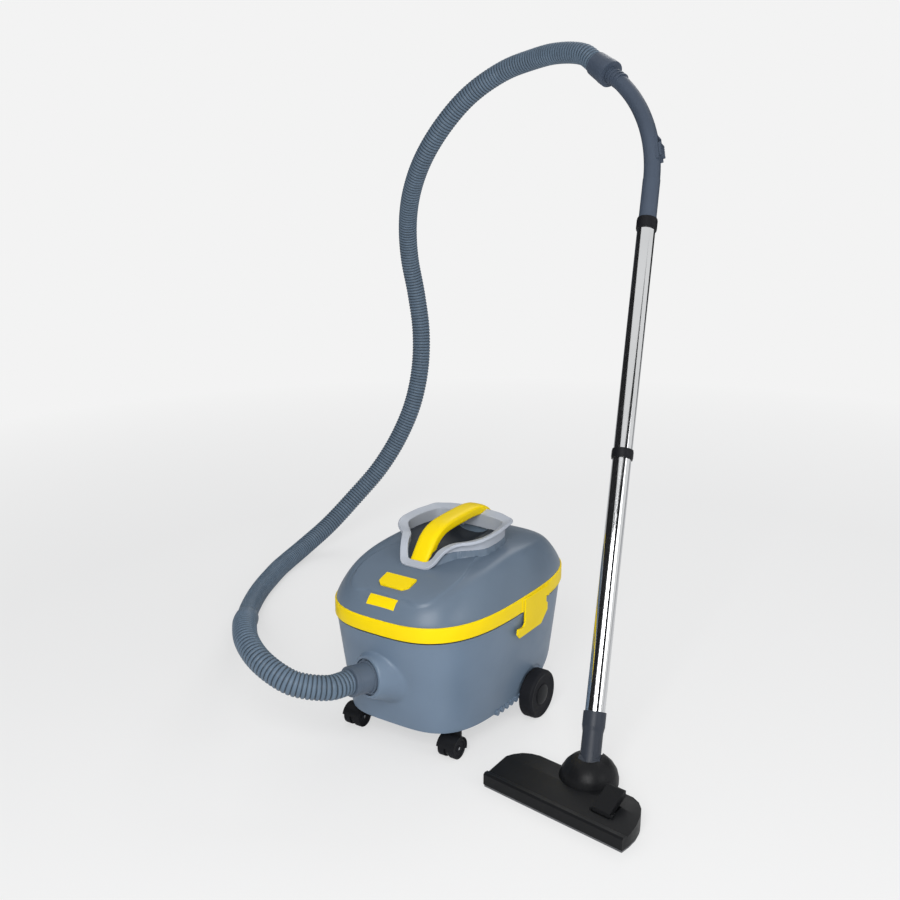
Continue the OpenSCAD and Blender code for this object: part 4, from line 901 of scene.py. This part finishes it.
def make_lid():
    """The domed lid with its lining, the hole for the button and the vents at its rear."""
    rings = []
    for share in 1 - np.linspace(0, (1 - LID_LAST) ** (1 / LID_CROWD), LID_ROWS) ** LID_CROWD:
        x, y = superellipse(ROUND, LID_HW * share, LID_HL * share, RIM_N)
        rings.append(np.stack([x, y, lid_surface(x, y)], 1))
    rings[0][:, 2] = BAND_TOP
    lining = []
    for share in (1, 0.99, 0.96, 0.92, 0.87, 0.81, 0.74, 0.65, 0.55, 0.45, 0.35, 0.25, 0.15, LID_LAST):
        x, y = superellipse(ROUND, (LID_HW - WALL) * share, (LID_HL - WALL) * share, RIM_N)
        z = BAND_TOP + lid_rise(x, y, LID_HW - WALL, LID_HL - WALL, DOME_H - WALL) - 0.0005
        lining.append(np.stack([x, y, np.minimum(z, hollow_height(x, y, HOLLOW_R + WALL) - 0.0005)], 1))
    lining[0][:, 2] = BAND_TOP
    lid = shell("lid_shell_moulded", np.array(rings), np.array(lining))
    cuts = [prism_at("cut", button_outline(BUTTON_GAP), -0.015, 0.03, button_frame())]
    for x in VENT_PITCH * np.arange(-VENTS_A_SIDE, VENTS_A_SIDE + 1):
        low = (x - VENT_HALF, LID_HL - 0.03, BAND_TOP + 0.008)
        high = (x + VENT_HALF, LID_HL + 0.03, BAND_TOP + 0.028)
        cuts.append(box_at("cut", low, high))
    boolean(lid, cuts, "DIFFERENCE")
    smooth_by_angle(lid, 40)
    return finished(lid, "lid_shell")


make_lid()

SHADE_SHEET_HALF = 0.0013  # half of the dark sheet's thickness
SHADE_SHEET_GAP = 0.0015  # between the dark sheet and the cord frame
SHADE_SHEET_ROWS = 60


def make_frame_shade_sheet():
    """A dark sheet on the plateau inside the cord frame, down into the hand hollow: painted shade for the
    frame's hollow.
    """
    edge = frame_ring(0)
    edge = edge - SHADE_SHEET_GAP * edge / np.linalg.norm(edge, axis=1)[:, None]
    sides = zip(edge, np.roll(edge, -1, axis=0))
    rim = np.array([a + (b - a) * t for a, b in sides for t in np.arange(6) / 6])
    shares = np.linspace(1, 0.02, SHADE_SHEET_ROWS)
    rings = []
    for lift, order in ((SHADE_SHEET_HALF, shares[::-1]), (-SHADE_SHEET_HALF, shares)):
        for share in order:
            x, y = rim[:, 0] * share, rim[:, 1] * share
            rings.append(np.stack([x, y, lid_surface(x, y) + lift], 1) + np.array(MIDDLE))
    shade_sheet = closed_loft("frame_shade_sheet", rings)
    smooth_by_angle(shade_sheet, 40)
    return piece(shade_sheet, BODY_OF["lid_shell"], FRAME_SHADE_MATERIAL)


make_frame_shade_sheet()

# ---- band with its latch pockets
BAND_OUT = 0.0035
BAND_T = 0.011
BAND_ROUND = 0.0022
LATCH_Y = 0.036
LATCH_HALF = 0.042
LATCH_X = 0.0012
LATCH_AXIS_Z = BAND_TOP - 0.007
BARREL_R = 0.0035
LATCH_GAP = 0.0005
PAD_SIDE = 0.007  # the raised pad passes the latch by this on each side
FLANGE_Z = BAND_Z + 0.0062


def rim_x(y):
    """Half width of the tub's rim at y."""
    return TUB_HW * (1 - (abs(y) / TUB_HL) ** RIM_N) ** (1 / RIM_N)


LATCH_TURN = math.atan((rim_x(LATCH_Y - LATCH_HALF) - rim_x(LATCH_Y + LATCH_HALF)) / (2 * LATCH_HALF))


def latch_frame(side):
    """Local frame of a latch: +X out of the tub's side, which is -1 for the left."""
    place = Matrix.Translation((rim_x(LATCH_Y), LATCH_Y, 0)) @ Matrix.Rotation(LATCH_TURN, 4, "Z")
    return Matrix.Scale(-1, 4, (1, 0, 0)) @ place if side < 0 else place


def band_section(out, inn, low, high, corner, steps=5):
    """A rounded rectangle, as [distance out from the tub's rim, height]."""
    turns = np.linspace(0, math.pi / 2, steps)
    quarter = [(corner * math.cos(t), corner * math.sin(t)) for t in turns]
    top = [(out - corner + x, high - corner + y) for x, y in quarter]
    low_out = [(out - corner + x, low + corner - y) for x, y in reversed(quarter)]
    return low_out + top + [(inn, high), (inn, low)]


def rectangle(first, last, half):
    return [(first, -half), (last, -half), (last, half), (first, half)]


def ring_of(name, section):
    """A closed ring round the tub's rim with the given section."""
    rings = []
    for out, z in section:
        x, y = superellipse(ROUND, TUB_HW + out, TUB_HL + out, RIM_N)
        rings.append(np.stack([x, y, np.full(COLUMNS, z)], 1))
    points = np.array(rings).reshape(-1, 3) + np.array(MIDDLE)
    return outward(new_object(name, points, loft_faces(len(section), COLUMNS, closed=True)))


def make_band():
    """The yellow ring and the flange inside it, with a raised pad and a pocket for each latch."""
    section = band_section(BAND_OUT, BAND_OUT - BAND_T, BAND_Z, BAND_TOP, BAND_ROUND)
    band = ring_of("rim_band_moulded", section)
    flange = ring_of("flange", band_section(-0.001, -0.018, FLANGE_Z, FLANGE_Z + 0.004, 0.0005, 2))
    boolean(band, [flange], "UNION")
    half = LATCH_HALF + LATCH_GAP
    pad = rectangle(-0.006, BAND_OUT, half + PAD_SIDE)
    pocket = rectangle(LATCH_X - LATCH_GAP, 0.02, half)
    pocket_top = LATCH_AXIS_Z + BARREL_R + 2 * LATCH_GAP
    for side in (-1, 1):
        place = latch_frame(side)
        pads = [prism_at("pad", pad, BAND_Z + 0.001, BAND_TOP - BAND_ROUND, place)]
        boolean(band, pads, "UNION")
        pockets = [prism_at("pocket", pocket, BAND_Z - 0.001, pocket_top, place)]
        boolean(band, pockets, "DIFFERENCE")
    smooth_by_angle(band)
    return finished(band, "rim_band")


make_band()

# ---- badge plate, left bare
BADGE_HALF = 0.029
BADGE_Y = (-0.2225, -0.2085)
BADGE_LIFTS = (0.0012, -0.0006)  # its face and its back, from the lid's surface
BADGE_GRID = (25, 13)


def make_badge():
    """The yellow plate on the lid's front. It follows the lid's slope and carries nothing."""
    across, along = BADGE_GRID
    x, y = np.meshgrid(np.linspace(-BADGE_HALF, BADGE_HALF, across), np.linspace(*BADGE_Y, along))
    z = lid_height(x, y)
    points = [at(*p) for lift in BADGE_LIFTS for p in zip(x.flat, y.flat, (z + lift).flat)]
    n = across * along
    grid = [
        (j * across + i, j * across + i + 1, (j + 1) * across + i + 1, (j + 1) * across + i)
        for j in range(along - 1) for i in range(across - 1)
    ]
    back = [tuple(n + i for i in f) for f in grid]
    order = np.arange(n).reshape(along, across)
    edge = np.concatenate([order[0], order[1:, -1], order[-1, -2::-1], order[-2:0:-1, 0]]).tolist()
    sides = [(a, b, b + n, a + n) for a, b in zip(edge, edge[1:] + edge[:1])]
    plate = outward(new_object("badge_plate", points, grid + back + sides))
    smooth_by_angle(plate, 40)
    soften(plate, 0.0004)
    return piece(plate, BODY_OF["lid_shell"], MATERIALS["yellow"])


make_badge()

# ---- the rest of the rigid pieces
SOFT_EDGES = {  # widths of the rounded edges
    "cord_frame": 0.0011, "carry_handle": 0.0012, "switch_button": 0.0014, "latch_left": 0.0008,
    "latch_right": 0.0008, "head_shell": 0.0014, "turret": 0.0006, "neck": 0.0008, "pedal": 0.001,
    "air_slide": 0.0004, "wheel_left": 0.0008, "wheel_right": 0.0008, "hubcap_left": 0.0008,
    "hubcap_right": 0.0008, "caster_fork_left": 0.0006, "caster_fork_right": 0.0006,
    "caster_wheels_left": 0.0008, "caster_wheels_right": 0.0008, "bent_handle": 0.0005,
    "ring_top": 0.0005, "ring_mid": 0.0005, "sole_plate": 0.0004, "inlet_socket": 0.0004,
    "motor_plate": 0.0005, "filter_cage": 0.0005, "fan_housing": 0.0005, "motor": 0.0006,
    "plate_screws": 0.0003, "cord_gland": 0.0004, "bag_collar": 0.0004, "brush_carrier": 0.0004,
}
for soft_node, soft_width in SOFT_EDGES.items():
    dressed(soft_node, soft_width)


# ---- dust bag, filters and brushes
BAG_SEAM = 0.004
BAG_FOLD = 0.0035
BAG_COLUMNS = 192
BAG_TURN = math.radians(80)  # how far its panels curve round to its ends


def make_dust_bag():
    """A full fleece bag: two bellied panels, creased towards their welded seam."""
    low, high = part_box("dust_bag")
    middle, half = (low + high) / 2, (high - low) / 2
    a = np.arange(BAG_COLUMNS) * 2 * np.pi / BAG_COLUMNS
    rings = []
    for lift in np.sin(np.linspace(-BAG_TURN, BAG_TURN, 41)) / math.sin(BAG_TURN):
        belly = 0.75 + 0.25 * math.sqrt(max(0, 1 - (lift * math.sin(BAG_TURN)) ** 2))
        x, y = superellipse(a, half.x * belly, half.y * belly, RIM_N)
        creases = np.sin(23 * a + 1.7 * lift) * np.sin(9 * a - 2.3 * lift) + 0.5 * np.sin(41 * a + 5 * lift)
        fold = BAG_FOLD * creases * (0.25 + 0.75 * math.exp(-6 * abs(lift)))
        seam = BAG_SEAM * math.exp(-((lift / 0.03) ** 2))
        grow = 1 + (np.minimum(fold - BAG_FOLD, 0) + seam) / np.hypot(x, y)
        z = middle.z + half.z * lift + 0.3 * fold * (1 - lift**2)
        rings.append(np.stack([middle.x + x * grow, middle.y + y * grow, z], 1))
    for end in (0, -1):
        centre = rings[end].mean(0)
        inner = [centre + (rings[end] - centre) * share for share in (0.9, 0.7, 0.4, 0.1)]
        rings = inner[::-1] + rings if end == 0 else rings + inner
    return finished(closed_loft("dust_bag_cloth", rings), "dust_bag")


PLEATS = 44
PLEAT_DEPTH = 0.0035
PLEAT_EDGE = 0.003  # plain edge above and below the pleats
FILTER_FLOOR = 0.006
FILTER_WALL = 0.0128
FILTER_HOLE = 0.02


def make_motor_filter():
    """A pleated cup, open at the top, with a hole in its floor."""
    low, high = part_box("motor_filter")
    middle, outer = (low + high) / 2, (high.x - low.x) / 2
    inner, floor_z = outer - FILTER_WALL, low.z + FILTER_FLOOR
    low_edge, high_edge = low.z + PLEAT_EDGE, high.z - PLEAT_EDGE
    a = np.arange(6 * PLEATS) * 2 * np.pi / (6 * PLEATS)
    wave = 0.5 - 0.5 * np.cos(PLEATS * a)
    profile = [  # distance from the axis, height and share of the pleats
        (FILTER_HOLE, low.z, 0), (outer - 0.003, low.z, 0), (outer, low.z + 0.001, 0), (outer, low_edge, 0),
        (outer, low_edge + 0.0005, 1), (outer, high_edge - 0.0005, 1), (outer, high_edge, 0),
        (outer, high.z, 0), (inner, high.z, 0), (inner, high_edge, 0), (inner, high_edge - 0.0005, -1),
        (inner, floor_z + 0.001, -1), (inner, floor_z, 0), (FILTER_HOLE, floor_z, 0),
    ]
    rings = []
    for r, z, pleated in profile:
        spread = r - PLEAT_DEPTH * wave * pleated
        x, y = middle.x + spread * np.cos(a), middle.y + spread * np.sin(a)
        rings.append(np.stack([x, y, np.full(len(a), z)], 1))
    pleated_filter = closed_loft("motor_filter_pleats", rings)
    smooth_by_angle(pleated_filter, 50)
    return finished(pleated_filter, "motor_filter")


FOLDS = 20
FOLD_DEPTH = 0.0018
FOLD_EDGE = 0.004


def make_exhaust_filter():
    """A flat panel, pleated in front and behind."""
    low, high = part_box("exhaust_filter")
    x = np.linspace(low.x + FOLD_EDGE, high.x - FOLD_EDGE, 2 * FOLDS + 1)
    depth = np.where(np.arange(len(x)) % 2, FOLD_DEPTH, 0.0)
    front = [(low.x, low.y), *zip(x, low.y + depth), (high.x, low.y)]
    rear = [(high.x, high.y), *zip(x[::-1], high.y - depth[::-1]), (low.x, high.y)]
    panel = closed_loft("exhaust_filter_pleats", [
        np.array([(px, py, z) for px, py in front + rear]) for z in (low.z, high.z)
    ])
    smooth_by_angle(panel, 20)
    return finished(panel, "exhaust_filter")


HEAD_TURN = math.radians(-8.9)
HEAD_BACK = 0.105
STRIP_HALF = 0.119
STRIP_V = (0.017, 0.063)
TUFTS = 56
STRANDS = 7
TUFT_R = 0.0009
SPLAY = (0.0012, 0.0003)  # of a strand's tip, along the strip and across it
TIP_SPREAD = 0.0008  # the tips end within this height
ROOT_R = 0.0003
TIP_R = 0.00018
THREE_WAYS = ((1, 0), (-0.5, 0.87), (-0.5, -0.87))


def make_bristles():
    """Two strips of tufts, each tuft a sheaf of tapered strands that splay a little."""
    low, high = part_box("bristles")
    turret_low, turret_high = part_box("turret")
    place = Matrix.Translation(((turret_low.x + turret_high.x) / 2, (turret_low.y + turret_high.y) / 2, 0))
    place = place @ Matrix.Rotation(HEAD_TURN, 4, "Z") @ Matrix.Translation((0, -HEAD_BACK, 0))
    draw = np.random.default_rng(7)
    points, faces = [], []
    for v in STRIP_V:
        for u in np.linspace(-STRIP_HALF + 0.002, STRIP_HALF - 0.002, TUFTS):
            for turn in np.arange(STRANDS) * 2 * np.pi / STRANDS:
                along, aside = math.cos(turn), math.sin(turn)
                root = np.array((u + TUFT_R * along, v + TUFT_R * aside))
                tip = root + (SPLAY[0] * along * draw.random(), SPLAY[1] * aside)
                tip_z = low.z + TIP_SPREAD * draw.random()
                base = len(points)
                for (x, y), z, r in ((root, high.z, ROOT_R), (tip, tip_z, TIP_R)):
                    points += [place @ Vector((x + r * dx, y + r * dy, z)) for dx, dy in THREE_WAYS]
                strand = loft_faces(2, 3) + [(2, 1, 0), (3, 4, 5)]
                faces += [tuple(base + i for i in face) for face in strand]
    tufts = outward(new_object("bristle_tufts", points, faces))
    return finished(tufts, "bristles")


make_dust_bag()
make_motor_filter()
make_exhaust_filter()
make_bristles()


# ---- floor, background and light
BACKDROP = linear(243, 243, 243)
FLOOR_NEAR = 1.3
FLOOR_FAR = 2.8
FLOOR_SHARE = 0.62  # of the backdrop's glow in the floor near the object
FLOOR_HALF = 40
FLOOR_WHITE = (0.86, 0.86, 0.86, 1)
WORLD_LIGHT = 0.42
WORLD_WHITE = (0.97, 0.98, 1.0, 1)


def mixed(tree, fac, first, second):
    """A shader that is the first one where fac is 0 and the second where it is 1."""
    mix = add(tree, "ShaderNodeMixShader")
    for i, output in enumerate((fac, first, second)):
        tree.links.new(output, mix.inputs[i])
    return mix.outputs["Shader"]


def make_floor():
    """A floor that takes shadows and meets the backdrop's tone, as the camera sees it."""
    corners = [(FLOOR_HALF * x, FLOOR_HALF * y, 0) for x, y in ((-1, -1), (1, -1), (1, 1), (-1, 1))]
    floor = new_object("floor", corners, [(0, 1, 2, 3)], False)
    material, tree, _ = node_tree("floor")
    tree.nodes.clear()
    out = add(tree, "ShaderNodeOutputMaterial")
    diffuse = add(tree, "ShaderNodeBsdfDiffuse", Color=FLOOR_WHITE).outputs["BSDF"]
    glow = add(tree, "ShaderNodeEmission", Color=(*BACKDROP, 1)).outputs["Emission"]
    place = add(tree, "ShaderNodeNewGeometry")
    distance = add(tree, "ShaderNodeVectorMath", operation="LENGTH")
    tree.links.new(place.outputs["Position"], distance.inputs[0])
    far = ranged(tree, distance.outputs["Value"], FLOOR_SHARE, 1, FLOOR_NEAR, FLOOR_FAR)
    rays = add(tree, "ShaderNodeLightPath")
    seen = mixed(tree, far, diffuse, glow)
    tree.links.new(mixed(tree, rays.outputs["Is Camera Ray"], diffuse, seen), out.inputs["Surface"])
    floor.data.materials.append(material)


def make_world():
    """Soft light all round. The camera and reflections see the backdrop's own tone instead."""
    world = bpy.data.worlds.new("world")
    bpy.context.scene.world = world
    world.use_nodes = True
    tree = world.node_tree
    tree.nodes.clear()
    out = add(tree, "ShaderNodeOutputWorld")
    light = add(tree, "ShaderNodeBackground", Strength=WORLD_LIGHT, Color=WORLD_WHITE)
    seen = add(tree, "ShaderNodeBackground", Strength=1.0, Color=(*BACKDROP, 1))
    rays = add(tree, "ShaderNodeLightPath")
    share = rays.outputs["Is Camera Ray"]
    for ray in ("Is Glossy Ray", "Is Transmission Ray"):
        either = add(tree, "ShaderNodeMath", operation="MAXIMUM")
        tree.links.new(share, either.inputs[0])
        tree.links.new(rays.outputs[ray], either.inputs[1])
        share = either.outputs["Value"]
    shader = mixed(tree, share, light.outputs["Background"], seen.outputs["Background"])
    tree.links.new(shader, out.inputs["Surface"])


def area_light(name, place, target, size, power):
    data = bpy.data.lights.new(name, "AREA")
    data.shape = "RECTANGLE"
    data.size, data.size_y = size
    data.energy = power
    lamp = bpy.data.objects.new(name, data)
    lamp.location = place
    lamp.rotation_euler = (Vector(target) - Vector(place)).to_track_quat("-Z", "Y").to_euler()
    bpy.context.scene.collection.objects.link(lamp)


def make_lights():
    middle = (0.0, 0.0, 0.4)
    area_light("key", (1.1, -2.6, 1.9), middle, (1.6, 1.6), 72)
    area_light("side", (2.7, -0.4, 1.4), middle, (1.2, 1.2), 14)
    area_light("back", (-0.8, 2.4, 2.4), middle, (1.8, 1.2), 20)


FLAG_R = 3.3
FLAG_HIGH = 3.6
FLAG_STEPS = 24
# each card's first and last angle from the camera's side, in degrees, and its lower edge
FLAGS = [(-170, -40, 0.35), (-34, 60, 0.35), (-24, -12, 0.0), (112, 186, 0.35)]


def make_flags():
    """Dark studio cards all round, seen only in reflections, with gaps that let in bright streaks."""
    look = math.radians(CAMERA_TURN - 90)  # from the object towards the camera
    material, _, shader = node_tree("flag")
    shader.inputs["Base Color"].default_value = (0.02, 0.02, 0.022, 1)
    shader.inputs["Roughness"].default_value = 1
    for i, (first, last, low) in enumerate(FLAGS):
        turns = look + np.radians(np.linspace(first, last, FLAG_STEPS))
        rim = FLAG_R * np.stack([np.cos(turns), np.sin(turns)], 1)
        points = [(x, y, z) for z in (low, FLAG_HIGH) for x, y in rim]
        faces = [(j, j + 1, FLAG_STEPS + j + 1, FLAG_STEPS + j) for j in range(FLAG_STEPS - 1)]
        card = new_object(f"flag_{i}", points, faces, False)
        card.data.materials.append(material)
        for ray in ("camera", "diffuse", "transmission", "shadow", "volume_scatter"):
            setattr(card, "visible_" + ray, False)


make_flags()
make_floor()
make_world()
make_lights()
bpy.context.scene.view_settings.view_transform = "Standard"
